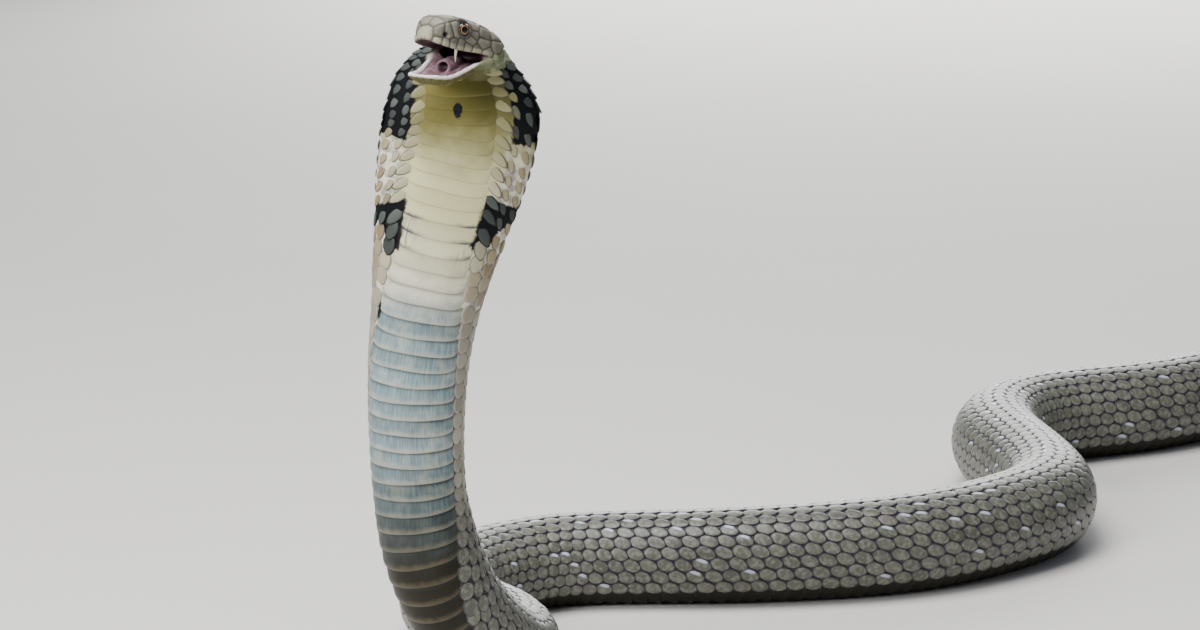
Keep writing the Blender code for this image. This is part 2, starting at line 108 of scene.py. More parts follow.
# ------------------------------------------------------------- shape of the body
# (place along the centre-line, value), as the solids have them.
TAIL_RADIUS = (
    (1900, 36), (2300, 31.5), (2700, 25), (2830, 21.5), (3000, 17), (3200, 10), (3330, 4.6),
    (3386, 1.6),
)
LYING_RADIUS = ((434, 32.6), (800, 34), (1150, 37), (1500, 37.8)) + TAIL_RADIUS
half_width = smooth_knots((
    (0, 4), (2.5, 11), (6.4, 19), (10, 25), (16, 31.5), (24, 37.8), (32, 43.6), (41, 48),
    (55, 51.4), (77, 51.2), (95, 49.8), (114, 47.8), (132, 44.6), (151, 41.3), (170, 38.7),
    (188, 36.3), (206, 34.7), (228, 33.5), (256, 32.4), (286, 31.4), (317, 31), (344, 32.4),
    (376, 33.4), (434, 33.2), (800, 34.2), (1150, 37.2), (1500, 38),
) + TAIL_RADIUS)
back_height = smooth_knots((
    (0, 3), (2.5, 8), (6.4, 11.5), (10, 13.5), (16, 15.5), (24, 16.5), (41, 16.5), (84, 16.5),
    (114, 18.5), (154, 23), (194, 28), (244, 30.5), (317, 30.5), (376, 32),
) + LYING_RADIUS)
belly_depth = smooth_knots((
    (0, 3), (2.5, 7), (6.4, 10), (10, 12), (16, 14), (24, 15.5), (41, 16), (84, 15.8), (114, 18),
    (154, 22.5), (194, 27.5), (244, 30), (317, 30), (376, 31.6),
) + LYING_RADIUS)
# Degrees from the middle of the belly to the ends of a belly plate.
plate_reach = smooth_knots((
    (0, 40), (36, 26), (60, 26.5), (100, 31), (150, 37), (190, 50), (250, 65), (330, 69),
    (420, 60), (520, 53), (3386, 53),
))
hood_edge = smooth_knots(((0, 1), (40, 1.3), (110, 1.25), (200, 1), (3386, 1)))
hood_turn = smooth_knots(((0, 3), (120, 2), (200, 10), (280, 15), (400, 15)))
FLOOR_PRESS = 1.3
HOOD_LEVEL_START, HOOD_LEVEL_END = 30.0, 90.0
LYING_START, LYING_END = 250.0, 420.0
THICK = 34.0                   # half width of the thick body
THIN = 12.0                    # half width where the tail's end gets thinner skin
HOOD_REACH = 90                # how many places of the centre-line the hood takes

# The centre-line's points: the column with its height, the rest on the ground.
HOOD_TOP = (
    (-25, -125, 476), (-28.6, -120, 468), (-31.2, -114.5, 456), (-30.8, -112.8, 444),
)
REARED = (
    (-29.7, -112.5, 425), (-33.3, -110, 401), (-40.8, -106.5, 365), (-48.6, -103, 328),
    (-55, -100, 292), (-60.1, -98, 252), (-61.6, -97, 208), (-59.5, -96, 163),
)
BEND = (
    (-52, -93, 124), (-37.5, -82, 86), (-17, -59, 54), (-3.5, -30, 36.5),
)
LOOP = (
    (0, 0), (-10, 30), (-30, 60), (-46, 93), (-50, 130), (-39, 168), (-10, 201), (36, 225),
)
NEAR_RUN = (
    (134, 232), (253, 250), (314, 277), (364, 318), (404, 375),
)
FAR_RUN = (
    (408, 440), (395, 510), (386, 580), (405, 640), (450, 676), (510, 703), (575, 750),
)
TAIL_RUN = (
    (640, 802), (725, 850), (825, 846), (905, 785), (935, 690), (905, 600), (830, 540),
    (750, 490), (700, 415), (705, 325), (770, 262), (860, 248), (946, 276), (1016, 335),
    (1062, 415), (1100, 500), (1152, 572), (1220, 622),
)

# ------------------------------------------------------------- shape of the head
# The head's own frame: x forward from the back of the head, y to the snake's
# left, z up from the middle of the head.
HEAD_YAW = math.radians(37.0)
HEAD_PITCH = math.radians(20.0)
HEAD_LENGTH = 66.0
FORWARD = np.array((
    -math.sin(HEAD_YAW) * math.cos(HEAD_PITCH),
    -math.cos(HEAD_YAW) * math.cos(HEAD_PITCH),
    math.sin(HEAD_PITCH),
))
LEFT = np.array((math.cos(HEAD_YAW), -math.sin(HEAD_YAW), 0.0))
UP = np.cross(FORWARD, LEFT)
SNOUT_TIP = np.array((-51.5, -162.0, 482.0))
HEAD_BACK = SNOUT_TIP - FORWARD * HEAD_LENGTH

head_width = smooth_knots((
    (0, 4), (1, 9), (4, 16.5), (9, 22.2), (15, 25), (22, 24.8), (30, 22.4), (37, 19.6),
    (44, 17.2), (51, 15.8), (57, 14.2), (61, 12.2), (64, 9.2), (65.5, 6.4), (66, 4.4),
))
head_top = smooth_knots((
    (0, 1), (1, 4), (4, 8.6), (9, 12.2), (16, 15.2), (24, 17), (32, 18.2), (44, 18), (51, 16.6),
    (57, 14.8), (61, 12.8), (64, 9.8), (65.5, 7), (66, 5),
))
head_lip = smooth_knots((
    (0, -2), (9, -2.8), (18, -3), (26, -3.2), (34, -3.6), (44, -4.8), (54, -5.4), (61, -5),
    (65, -4), (66, -3),
))
head_throat = smooth_knots((
    (0, -4), (1, -6), (4, -8.5), (9, -11), (16, -13.5), (26, -16.5),
))
MOUTH_CORNER = 26.0
# Round one half of a section: share of the half width, share of the height.
CROWN = (
    (0, 1), (0.34, 0.985), (0.66, 0.93), (0.86, 0.80), (0.965, 0.60), (1, 0.38), (0.985, 0.16),
    (0.95, 0),
)
THROAT = (
    (0.99, 0.10), (0.93, 0.42), (0.74, 0.78), (0.40, 0.96), (0, 1),
)
LIP_THICK = 2.6
PALATE_RISE = 4.0
HEAD_STATIONS = (
    0, 1, 4, 9, 14.5, 20, 26, 31, 36, 40, 44, 48, 52, 56, 59.5, 62.5, 64.8, 66,
)
jaw_rim = smooth_knots((
    (26, -3.8), (30, -6.6), (36, -11.6), (42, -16.6), (48, -20.6), (54, -23), (60, -24.2),
    (62, -24.6),
))
jaw_width = smooth_knots((
    (26, 23.4), (30, 22), (36, 19.4), (44, 17), (50, 15.8), (55, 14.4), (59, 12.2), (61.2, 9.4),
    (62, 7),
))
jaw_depth = smooth_knots((
    (26, 13), (34, 11.4), (44, 9), (52, 7), (58, 5), (62, 2.4),
))
JAW_FLOOR = 3.2
JAW_STATIONS = (22, 26, 30, 34, 39, 44, 48, 52, 55.5, 58.5, 60.6, 62)

EYE_PLACE = (46.6, 12.9, 9.0)
EYE_RADIUS = 5.0
SOCKET_RADIUS = EYE_RADIUS + 0.2
FANG_PLACE = (44.4, 10.0, -0.6)
FANG_LENGTH = 11.0
FANG_RADIUS = 1.3
NOSTRIL_PLACE = (60.0, 12.4, 2.6)


def head_point(x, y, z):
    """Places of the head's frame as world places, both in mm."""
    x, y, z = (np.asarray(v, float)[..., None] for v in (x, y, z))
    return HEAD_BACK + FORWARD * x + LEFT * y + UP * z


def head_frame(points):
    """World places in mm as x, y and z of the head's frame."""
    away = points - HEAD_BACK
    return away @ FORWARD, away @ LEFT, away @ UP


class CentreLine:
    """The body's centre-line, with its frames worked out for every millimetre."""

    def __init__(self):
        pts = np.array(self.route(), float)
        fine = self.spline(pts)
        along = np.concatenate(
            [[0.0], np.cumsum(np.linalg.norm(np.diff(fine, axis=0), axis=1))]
        )
        self.length = float(along[-1])
        self.places = np.linspace(0, self.length, int(self.length))
        self.centre = np.stack(
            [np.interp(self.places, along, fine[:, k]) for k in range(3)], axis=1
        )
        tangent = unit(np.gradient(self.centre, self.places, axis=0))
        level = smoothstep(HOOD_LEVEL_END, HOOD_LEVEL_START, self.places)[:, None]
        self.axis = unit(tangent * (1 - level) + np.array((0, 0, -1.0)) * level)
        turn = np.radians(hood_turn(self.places))
        front = np.stack([-np.sin(turn), -np.cos(turn), 0 * turn], axis=1)
        lying = smoothstep(LYING_START, LYING_END, self.places)[:, None]
        wanted = front * (1 - lying) + np.array((0, 0, -1.0)) * lying
        wanted -= self.axis * np.sum(wanted * self.axis, axis=1, keepdims=True)
        self.belly = unit(wanted)

    @staticmethod
    def route():
        """The route's points, the lying ones at the height of their own belly."""
        points = list(HOOD_TOP + REARED + BEND)
        reached = sum(math.dist(a, b) for a, b in zip(points, points[1:]))
        last = points[-1]
        for x, y in LOOP + NEAR_RUN + FAR_RUN + TAIL_RUN:
            reached += math.hypot(x - last[0], y - last[1])
            last = (x, y)
            points.append((x, y, float(belly_depth(reached)) - FLOOR_PRESS))
        return points

    @staticmethod
    def spline(pts):
        """A natural cubic spline through the points, as close points along it."""
        step = np.sqrt(np.linalg.norm(np.diff(pts, axis=0), axis=1)) * 6.0
        count = len(pts)
        matrix = np.zeros((count, count))
        right = np.zeros((count, 3))
        matrix[0, 0] = matrix[-1, -1] = 1.0
        for i in range(1, count - 1):
            matrix[i, i - 1:i + 2] = step[i - 1], 2 * (step[i - 1] + step[i]), step[i]
            right[i] = 6 * (
                (pts[i + 1] - pts[i]) / step[i] - (pts[i] - pts[i - 1]) / step[i - 1]
            )
        bend = np.linalg.solve(matrix, right)
        pieces = []
        for i, h in enumerate(step):
            b = np.linspace(0, 1, 120, endpoint=False)[:, None]
            a = 1 - b
            pieces.append(
                a * pts[i] + b * pts[i + 1]
                + ((a ** 3 - a) * bend[i] + (b ** 3 - b) * bend[i + 1]) * h * h / 6
            )
        return np.concatenate(pieces + [pts[-1:]])

    def read(self, rows, s):
        """Rows of one of the tables, read at the places s."""
        return np.stack([np.interp(s, self.places, rows[:, k]) for k in range(3)], axis=-1)

    def frame(self, s):
        """Centre, belly direction and left direction at the places s."""
        belly = unit(self.read(self.belly, s))
        left = np.cross(belly, unit(self.read(self.axis, s)))
        return self.read(self.centre, s), belly, left


LINE = CentreLine()


def body_place(s, angle, raised=0.0):
    """Places on the body in mm: angle 0 is mid belly, positive the snake's left."""
    s, angle = np.broadcast_arrays(np.asarray(s, float), np.asarray(angle, float))
    centre, belly, left = LINE.frame(s)
    cosine = np.cos(angle)
    depth = np.where(cosine > 0, belly_depth(s), back_height(s)) + raised
    across = (half_width(s) + raised) * np.sin(angle)
    out = depth * np.copysign(np.abs(cosine) ** hood_edge(s), cosine)
    place = centre + left * across[..., None] + belly * out[..., None]
    place[..., 2] = np.maximum(place[..., 2], 0.0)
    return place


def body_frame(s, angle, raised=0.0):
    """Place, outward direction and tailward direction at places on the body."""
    tailward = unit(body_place(s + 1.0, angle, raised) - body_place(s - 1.0, angle, raised))
    around = body_place(s, angle + 0.03, raised) - body_place(s, angle - 0.03, raised)
    out = unit(np.cross(tailward, around))
    place = body_place(s, angle, raised)
    outward = place - LINE.read(LINE.centre, s)
    out *= np.where(np.sum(out * outward, axis=-1, keepdims=True) < 0, -1.0, 1.0)
    return place, out, tailward


# ----------------------------------------------------------------------- settings
def length_setting(name, description, default, low, high):
    return FloatProperty(
        name=name, description=description, default=default, min=low, max=high, unit="LENGTH")


def colour_setting(name, description, default):
    return FloatVectorProperty(
        name=name, description=description, subtype="COLOR", size=3, min=0.0, max=1.0,
        default=default)


class CobraSizes(bpy.types.PropertyGroup):
    skin_depth: length_setting(
        "Skin depth", "How far the skin lies under the scales' tops", 0.0006, 0.0002, 0.0015)
    head_cell: length_setting(
        "Head cell", "Size of the head skin's mesh cells", 0.00066, 0.0004, 0.002)
    groove_depth: length_setting(
        "Shield groove", "Depth of the grooves between head shields", 0.00045, 0.0, 0.001)
    scale_pitch: length_setting(
        "Scale pitch", "Distance between scales along the thick body", 0.0127, 0.008, 0.016)
    scale_rows: IntProperty(
        name="Scale rows", description="Rows of scales round the back of the body",
        default=17, min=11, max=25)
    plate_pitch: length_setting(
        "Plate pitch", "Distance between the belly plates", 0.0113, 0.008, 0.02)
    plate_lip: length_setting(
        "Plate lip", "Height of a belly plate's free rear edge", 0.0012, 0.0003, 0.002)
    bead_size: length_setting(
        "Bead size", "Size of the small scales of cheek and throat", 0.0045, 0.002, 0.006)


class CobraColours(bpy.types.PropertyGroup):
    scale: colour_setting("Scale", "Smooth back scales", (0.090, 0.088, 0.069))
    seam: colour_setting("Skin between", "Skin seen between the scales", (0.03, 0.024, 0.032))
    # Throat: its own yellow-olive, darkened with painted shade where the head shadows it.
    throat: colour_setting("Throat", "Yellow-olive throat", (0.165, 0.145, 0.030))
    cream: colour_setting("Cream", "Pale plates of the hood", (0.72, 0.69, 0.54))
    slate: colour_setting("Slate", "Blue-grey plates down the neck", (0.165, 0.225, 0.240))
    # Low plates: their own dark olive, darkened further with painted shade near the floor.
    foot: colour_setting("Low plates", "Dark olive plates near the floor", (0.012, 0.010, 0.004))
    bar: colour_setting("Bars", "Black-blue bars on the hood", (0.002, 0.0025, 0.004))
    white: colour_setting("Pale skin", "Whitish skin between the bars", (0.30, 0.285, 0.25))
    head: colour_setting("Head shields", "Olive-brown head", (0.135, 0.123, 0.092))
    lip: colour_setting("Lips", "Pale lip shields", (0.40, 0.38, 0.25))
    rim: colour_setting("Jaw rim", "Whitish rim of the lower jaw", (0.78, 0.72, 0.68))
    lining: colour_setting("Mouth lining", "Moist mouth lining", (0.25, 0.13, 0.155))
    # Palate: painted shade, the roof of the mouth darkened as if in shadow.
    palate: colour_setting("Palate", "Dark roof of the mouth", (0.045, 0.020, 0.028))
    cheek: colour_setting("Cheek", "Pale green folds behind the jaw", (0.25, 0.28, 0.15))
    iris: colour_setting("Iris", "Golden iris", (0.55, 0.27, 0.06))


# ---------------------------------------------------------------- material helper
def add_node(tree, kind, inputs=(), **settings):
    """A node with its settings made and its inputs set or linked."""
    made = tree.nodes.new(kind)
    for key, value in settings.items():
        setattr(made, key, value)
    for key, value in dict(inputs).items():
        put(tree, value, made.inputs[key])
    return made


def put(tree, value, socket):
    """Set an input, or link it to the output that is given."""
    value = getattr(value, "socket", value)
    if isinstance(value, bpy.types.NodeSocket):
        tree.links.new(value, socket)
    elif isinstance(value, (tuple, list)) and socket.type == "RGBA":
        socket.default_value = (*value, 1.0)
    else:
        socket.default_value = value


class Output:
    """What a material's node gives; numbers are used in plain expressions."""

    def __init__(self, finish, socket):
        self.finish, self.socket = finish, socket

    def __add__(self, other):
        return self.finish.math("ADD", self, other)

    def __sub__(self, other):
        return self.finish.math("SUBTRACT", self, other)

    def __mul__(self, other):
        return self.finish.math("MULTIPLY", self, other)

    def __or__(self, other):
        """The larger of the two."""
        return self.finish.math("MAXIMUM", self, other)

    def __abs__(self):
        return self.finish.math("ABSOLUTE", self)

    def step(self, low, high):
        """0 below low, 1 above high and smooth between, whichever is larger."""
        return self.finish.output(
            "ShaderNodeMapRange", {"Value": self, "From Min": low, "From Max": high},
            interpolation_type="SMOOTHSTEP")

    def band(self, start, end, soft):
        """1 from start to end, with soft borders."""
        return self.step(start - soft, start + soft) * self.step(end + soft, end - soft)

    def between(self, first, second):
        """A number that goes from the first to the second with this share."""
        return self * (second - first) + first

    def spread(self, low, high):
        """This share drawn out from low to high, and never past them."""
        return self.finish.output(
            "ShaderNodeMapRange", {"Value": self, "To Min": low, "To Max": high})


class Finish:
    """A material whose nodes are written as plain expressions."""

    def __init__(self, name):
        self.material = bpy.data.materials.new(name)
        self.material.use_nodes = True
        self.tree = self.material.node_tree

    def output(self, kind, inputs=(), key=0, **settings):
        return Output(self, add_node(self.tree, kind, inputs, **settings).outputs[key])

    def attributes(self, *names):
        return [self.output("ShaderNodeAttribute", key="Fac", attribute_name=name)
                for name in names]

    def math(self, operation, a, b=0.0):
        return self.output("ShaderNodeMath", {0: a, 1: b}, operation=operation)

    def mix(self, share, first, second, blend="MIX"):
        """The first colour painted over with the second as far as the share says."""
        return self.output("ShaderNodeMix", {"Factor": share, 6: first, 7: second}, 2,
                           data_type="RGBA", blend_type=blend)

    def noise(self, vector, scale, detail=2.0, rough=0.5):
        return self.output(
            "ShaderNodeTexNoise",
            {"Vector": vector, "Scale": scale, "Detail": detail, "Roughness": rough}, "Fac")

    def grain(self, vector, scale=2600.0):
        """The fine grain of horn and skin."""
        return self.noise(vector, scale, 3.0, 0.7)

    def vector(self, x, y, z=0.0):
        return self.output("ShaderNodeCombineXYZ", {"X": x, "Y": y, "Z": z})

    def streaks(self, x, y):
        """Noise drawn out along the slower of the two numbers."""
        return self.noise(self.vector(x, y), 1.0, 3.0, 0.6)

    def place(self):
        return self.output("ShaderNodeTexCoord", key="Object")

    def bump(self, height, distance, strength=0.6):
        return self.output(
            "ShaderNodeBump", {"Height": height, "Distance": distance, "Strength": strength})

    def wear(self, **values):
        """Set the shader's own sockets."""
        shader = self.tree.nodes["Principled BSDF"]
        for key, value in values.items():
            put(self.tree, value, shader.inputs[key.replace("_", " ")])
        return self.material


# --------------------------------------------------------------------- markings
# Places along the centre-line, in metres, where the front's colours change.
THROAT_FADE = (0.050, 0.105)
CREAM_FADE = (0.110, 0.180)
SLATE_FADE = (0.165, 0.200)
# Where the low plates' own dark olive and painted shade near the floor fade in.
FOOT_OLIVE_AND_SHADE_FADE = (0.262, 0.365)
# The front black patch: start, end and inner border as a share of the half turn, each
# on the snake's right and left.
PATCH_START = (0.004, 0.024)
PATCH_END = (0.0785, 0.0700)
PATCH_INNER = (0.218, 0.245)
# The rear bars' start and end, each beside the plates and at the hood's edge, each on
# the snake's right and left.
BAR_START = ((0.117, 0.107), (0.125, 0.110))
BAR_END = ((0.151, 0.141), (0.140, 0.125))
SPOT_ALONG, SPOT_ACROSS = 0.051, -0.0015
SPOT_EDGE = (0.0036, 0.0026)
# The small mark below the rear bar on the snake's right.
MARK_ALONG, MARK_AROUND = (0.187, 0.199, 0.0015), (0.255, 0.30, 0.012)
SHADE_ALONG, SHADE_ACROSS = (0.085, 0.030), (-0.008, 0.022)
SMUDGE_ALONG, SMUDGE_ACROSS = (0.134, 0.145, 0.004), (0.010, 0.020)
HIGH_ALONG, HIGH_AROUND = (0.042, 0.032), (0.20, 0.27)
BODY_VALUES = ("along", "around", "across")
GRAIN_DEPTH = 0.00012


def shaded(colour, share):
    """A colour made darker or lighter."""
    return [c * share for c in colour]


def front_colour(finish, colours, along, across, place):
    """Colour of the belly side from the throat down the neck to the floor."""
    low = along + (finish.noise(place, 60.0) - 0.5) * 0.03
    streaks = finish.streaks(across * 900.0, along * 60.0)
    slate = finish.mix(streaks.step(0.38, 0.76), colours.slate, shaded(colours.slate, 1.7))
    patches = finish.noise(place, 85.0).step(0.48, 0.72)
    slate = finish.mix(patches * 0.22, slate, colours.cream)
    cream = finish.mix(finish.noise(place, 140.0, 3.0).step(0.4, 0.7),
                       colours.cream, shaded(colours.cream, 0.86))
    shade = across.step(*SHADE_ACROSS) * along.step(*SHADE_ALONG)
    throat = finish.mix(shade, colours.throat, shaded(colours.throat, 0.55))
    yellow_cream = (0.64, 0.60, 0.33)
    pale = finish.mix(low.step(*CREAM_FADE), yellow_cream, cream)
    colour = finish.mix(low.step(*THROAT_FADE), throat, pale)
    smudge = low.band(*SMUDGE_ALONG) * streaks.step(0.45, 0.7)
    smudge = smudge * abs(across).step(*SMUDGE_ACROSS) * 0.85
    colour = finish.mix(smudge, colour, (0.05, 0.07, 0.10))
    colour = finish.mix(low.step(*SLATE_FADE), colour, slate)
    # Darker towards the floor: the plates' own dark olive together with painted shade.
    return finish.mix(low.step(*FOOT_OLIVE_AND_SHADE_FADE), colour, colours.foot)


def hood_bars(finish, along, around, across):
    """Where the hood is black: the patches, the bars, the throat's spot, small marks."""
    spread = finish.vector(along, across, around * 0.1)
    rough = finish.noise(spread, 110.0, 1.0) * 0.6
    rough = rough + finish.noise(spread, 420.0, 3.0, 0.7) * 0.4 - 0.5
    near, side = along + rough * 0.016, around + rough * 0.07
    left = across.step(-0.018, 0.018)

    def length(start, end):
        """1 from the start to the end, each a number that changes round the hood."""
        return (near - start).step(-0.001, 0.001) * (near - end).step(0.001, -0.001)

    high = along.step(0.036, 0.018) * left.between(0.12, 0.0)
    outward = (side + high - left.between(*PATCH_INNER)).step(-0.006, 0.006)
    patch = length(left.between(*PATCH_START), left.between(*PATCH_END)) * outward
    to_edge = side.step(0.24, 0.37)
    start, end = (to_edge.between(left.between(*middle), left.between(*edge))
                  for middle, edge in (BAR_START, BAR_END))
    bar = length(start, end) * side.step(0.166, 0.186)
    away = finish.vector((near - SPOT_ALONG) * 0.62, across - SPOT_ACROSS)
    away = finish.output("ShaderNodeVectorMath", {0: away}, "Value", operation="LENGTH")
    spot = away.step(*SPOT_EDGE) * around.step(0.3, 0.2)
    small = near.band(*MARK_ALONG) * side.band(*MARK_AROUND)
    return patch | bar | spot | small * across.step(0.0, -0.002)


def high_side(along, around):
    """1 at the top of the hood's sides, where the cheeks' colour runs on."""
    return along.step(*HIGH_ALONG) * around.step(*HIGH_AROUND)


def colour_table(context):
    """The colour settings as plain lists."""
    colours = context.scene.cobra_colours
    return SimpleNamespace(
        **{name: list(getattr(colours, name)) for name in CobraColours.__annotations__})


def scale_finish(colours):
    """Back, flank and hood scales: smooth olive-grey with dark edges."""
    finish = Finish("cobra_scale")
    along, around, across = finish.attributes(*BODY_VALUES)
    tone, rim, fleck, tail_share, back_share = finish.attributes(
        "tone", "rim", "fleck", "tail_share", "back_share")
    place = finish.place()
    base = finish.mix(tone, shaded(colours.scale, 0.78), shaded(colours.scale, 1.20))
    base = finish.mix(finish.noise(place, 300.0).step(0.4, 0.7), base,
                      finish.mix(0.5, base, (0.25, 0.27, 0.21)))
    tan = finish.mix(tone, (0.25, 0.18, 0.09), (0.38, 0.31, 0.18))
    pale = finish.mix(tone, (0.40, 0.37, 0.22), (0.52, 0.48, 0.33))
    yellow = finish.mix(tone, (0.20, 0.18, 0.06), (0.34, 0.32, 0.15))
    green = finish.mix(tone, (0.12, 0.14, 0.10), colours.cheek)
    neck = finish.mix(tone, (0.24, 0.22, 0.17), (0.42, 0.39, 0.31))
    front = finish.mix(around.step(0.30, 0.25), tan, pale)
    front = finish.mix(along.step(0.100, 0.055), front, yellow)
    front = finish.mix(high_side(along, around), front, green)
    front = finish.mix(along.step(0.15, 0.21), front, neck)
    hood = along.step(0.36, 0.28) * around.step(0.66, 0.54)
    base = finish.mix(hood, base, front)
    bars = hood_bars(finish, along, around, across)
    dark = finish.mix(tone, (0.020, 0.027, 0.025), (0.070, 0.083, 0.073))
    base = finish.mix(bars, base, dark)
    # Painted highlights: pale bluish flecks on the upper side of some lying scales, standing for
    # their glints.
    strip = tail_share.band(0.20, 0.66, 0.10) * back_share.step(0.62, 0.74)
    base = finish.mix(fleck * strip, base, (0.46, 0.51, 0.58))
    grain = finish.grain(place)
    base = finish.mix(grain * 0.20, base, (0.05, 0.045, 0.04))
    edge = finish.mix(along.step(0.13, 0.17), (0.11, 0.10, 0.07), (0.30, 0.28, 0.22))
    edge = finish.mix(hood, colours.seam, edge)
    edge = finish.mix(bars, edge, colours.bar)
    return finish.wear(
        Base_Color=finish.mix(rim.step(0.77, 0.90), base, edge),
        Roughness=grain.spread(0.30, 0.46), Specular_IOR_Level=bars.between(0.42, 0.24),
        Normal=finish.bump(grain, GRAIN_DEPTH))


def cheek_finish(colours):
    """Small bead-like scales behind the jaw and under it."""
    finish = Finish("cobra_cheek")
    tone, rim, height = finish.attributes("tone", "rim", "fleck")
    # Low beads take the throat colour, which carries painted shade of the head.
    base = finish.mix(height, colours.throat, colours.cheek)
    base = finish.mix(tone.between(0.25, 1.0), (0.02, 0.02, 0.015), base)
    grain = finish.grain(finish.place())
    base = finish.mix(grain * 0.2, base, (0.05, 0.05, 0.03))
    edge = finish.mix(height, (0.20, 0.17, 0.05), (0.10, 0.11, 0.07))
    return finish.wear(
        Base_Color=finish.mix(rim.step(0.78, 0.98), base, edge), Roughness=0.46,
        Specular_IOR_Level=0.25, Normal=finish.bump(grain, GRAIN_DEPTH))


def plate_finish(colours):
    """Broad belly plates: pale rear edges and fine lengthwise streaks."""
    finish = Finish("cobra_plate")
    along, around, across = finish.attributes(*BODY_VALUES)
    rear, tone = finish.attributes("rear", "tone")
    place = finish.place()
    colour = front_colour(finish, colours, along, across, place)
    colour = finish.mix(1.0, colour, finish.mix(tone, (0.80, 0.80, 0.78), (1, 1, 1)), "MULTIPLY")
    pale = finish.mix(along.step(0.27, 0.37), (0.44, 0.44, 0.37), (0.095, 0.078, 0.045))
    neck = along.step(0.150, 0.185)
    ragged = rear + (finish.noise(place, 170.0, 3.0) - 0.5) * 0.36
    lip = ragged.step(0.58, 1.05) * rear.step(1.02, 1.0) * neck * along.step(0.47, 0.42)
    colour = finish.mix(lip * 0.8, colour, pale)
    # Painted shadow on each neck plate's front, just under the free edge of the plate ahead.
    colour = finish.mix(rear.step(0.22, 0.0) * neck * 0.5, colour, (0.03, 0.035, 0.035))
    beside = along.band(0.120, 0.149, 0.004) * abs(across).step(0.005, 0.019)
    colour = finish.mix(beside * ragged.step(0.72, 1.0) * 0.9, colour, (0.03, 0.045, 0.08))
    # Under each plate's free edge: on the neck a painted shadow line, on the throat olive.
    fold = finish.mix(neck, (0.22, 0.18, 0.08), (0.03, 0.03, 0.03))
    colour = finish.mix(rear.step(1.0, 1.04) * neck.between(0.40, 0.85), colour, fold)
    colour = finish.mix(hood_bars(finish, along, around, across), colour, colours.bar)
    grain = finish.streaks(across * 1800.0, along * 300.0)
    return finish.wear(
        Base_Color=colour, Roughness=grain.spread(0.36, 0.56), Specular_IOR_Level=0.22,
        Normal=finish.bump(grain, 0.0002, 0.5))


def skin_finish(colours):
    """The skin: shields on the head, lining in the mouth, soft skin elsewhere."""
    finish = Finish("cobra_skin")
    along, around, across = finish.attributes(*BODY_VALUES)
    seam, tone, shield, lip, throat, lift = finish.attributes(
        "seam", "tone", "shield", "lip", "throat", "lift")
    lining, roof, gullet, gum = finish.attributes("lining", "roof", "gullet", "gum")
    place = finish.place()
    mottle = finish.noise(place, 420.0, 4.0, 0.6)
    front = front_colour(finish, colours, along, across, place)
    white = finish.mix(finish.noise(place, 180.0).step(0.35, 0.65), colours.white, colours.cream)
    near_throat = along.step(0.090, 0.060) | around.step(0.27, 0.20) * along.step(0.16, 0.10)
    white = finish.mix(near_throat, white, front)
    white = finish.mix(high_side(along, around), white, shaded(colours.cheek, 0.45))
    hood = along.step(0.30, 0.17)
    side = finish.mix(hood, colours.seam, white)
    back = finish.mix(hood, colours.seam, (0.13, 0.115, 0.075))
    soft = finish.mix(around.step(0.16, 0.22), front, side)
    soft = finish.mix(around.step(0.56, 0.68), soft, back)
    bars = hood_bars(finish, along, around, across)
    soft = finish.mix(bars, soft, colours.bar)
    fold = finish.mix(lift, (0.095, 0.083, 0.018), colours.cheek)
    soft = finish.mix(throat, soft, finish.mix(mottle * 0.6, fold, (0.09, 0.085, 0.045)))

    light = shaded(colours.head, 1.5)
    horn = finish.mix(tone, shaded(colours.head, 0.62), light)
    horn = finish.mix(mottle.step(0.45, 0.7) * 0.45, horn, (0.21, 0.20, 0.165))
    horn = finish.mix(lip, horn, finish.mix(mottle * 0.6, colours.lip, light))
    fine = finish.grain(place, 2400.0)
    horn = finish.mix(fine * 0.25, horn, (0.09, 0.08, 0.05))
    colour = finish.mix(shield, soft, horn)
    # Dark seams between the shields, a dark ring round the eyes, and painted shade inside the
    # nostrils.
    colour = finish.mix(seam * 0.93, colour, (0.02, 0.018, 0.014))

    flesh = finish.mix(finish.noise(place, 260.0, 3.0).step(0.38, 0.66),
                       colours.lining, (0.36, 0.25, 0.29))
    # Painted shade on the roof of the mouth.
    flesh = finish.mix(roof, flesh, colours.palate)
    # Painted shade deep in the throat and inside the windpipe.
    flesh = finish.mix(gullet, flesh, (0.03, 0.008, 0.015))
    colour = finish.mix(lining, colour, flesh)
    colour = finish.mix(gum, colour, finish.mix(mottle, colours.rim, shaded(colours.rim, 0.9)))
    wet = (lining - roof * 0.8) * 0.30
    return finish.wear(
        Base_Color=colour, Roughness=fine.spread(0.42, 0.60) - wet,
        Specular_IOR_Level=(bars | throat).between(0.42, 0.12),
        Normal=finish.bump(fine, 0.00018))


def eye_finish(colours):
    """A wet eye: a round black pupil in a thin golden iris."""
    finish = Finish("cobra_eye")
    [away] = finish.attributes("from_pupil")
    rays = finish.noise(finish.place(), 900.0, 3.0)
    iris = finish.mix(rays, shaded(colours.iris, 0.35), shaded(colours.iris, 1.25))
    colour = finish.mix(away.step(0.47, 0.50), (0.004, 0.003, 0.003), iris)
    colour = finish.mix(away.step(0.54, 0.60), colour, (0.012, 0.008, 0.006))
    return finish.wear(
        Base_Color=colour, Roughness=0.12, Specular_IOR_Level=0.2, Coat_Weight=0.5,
        Coat_Roughness=0.03)


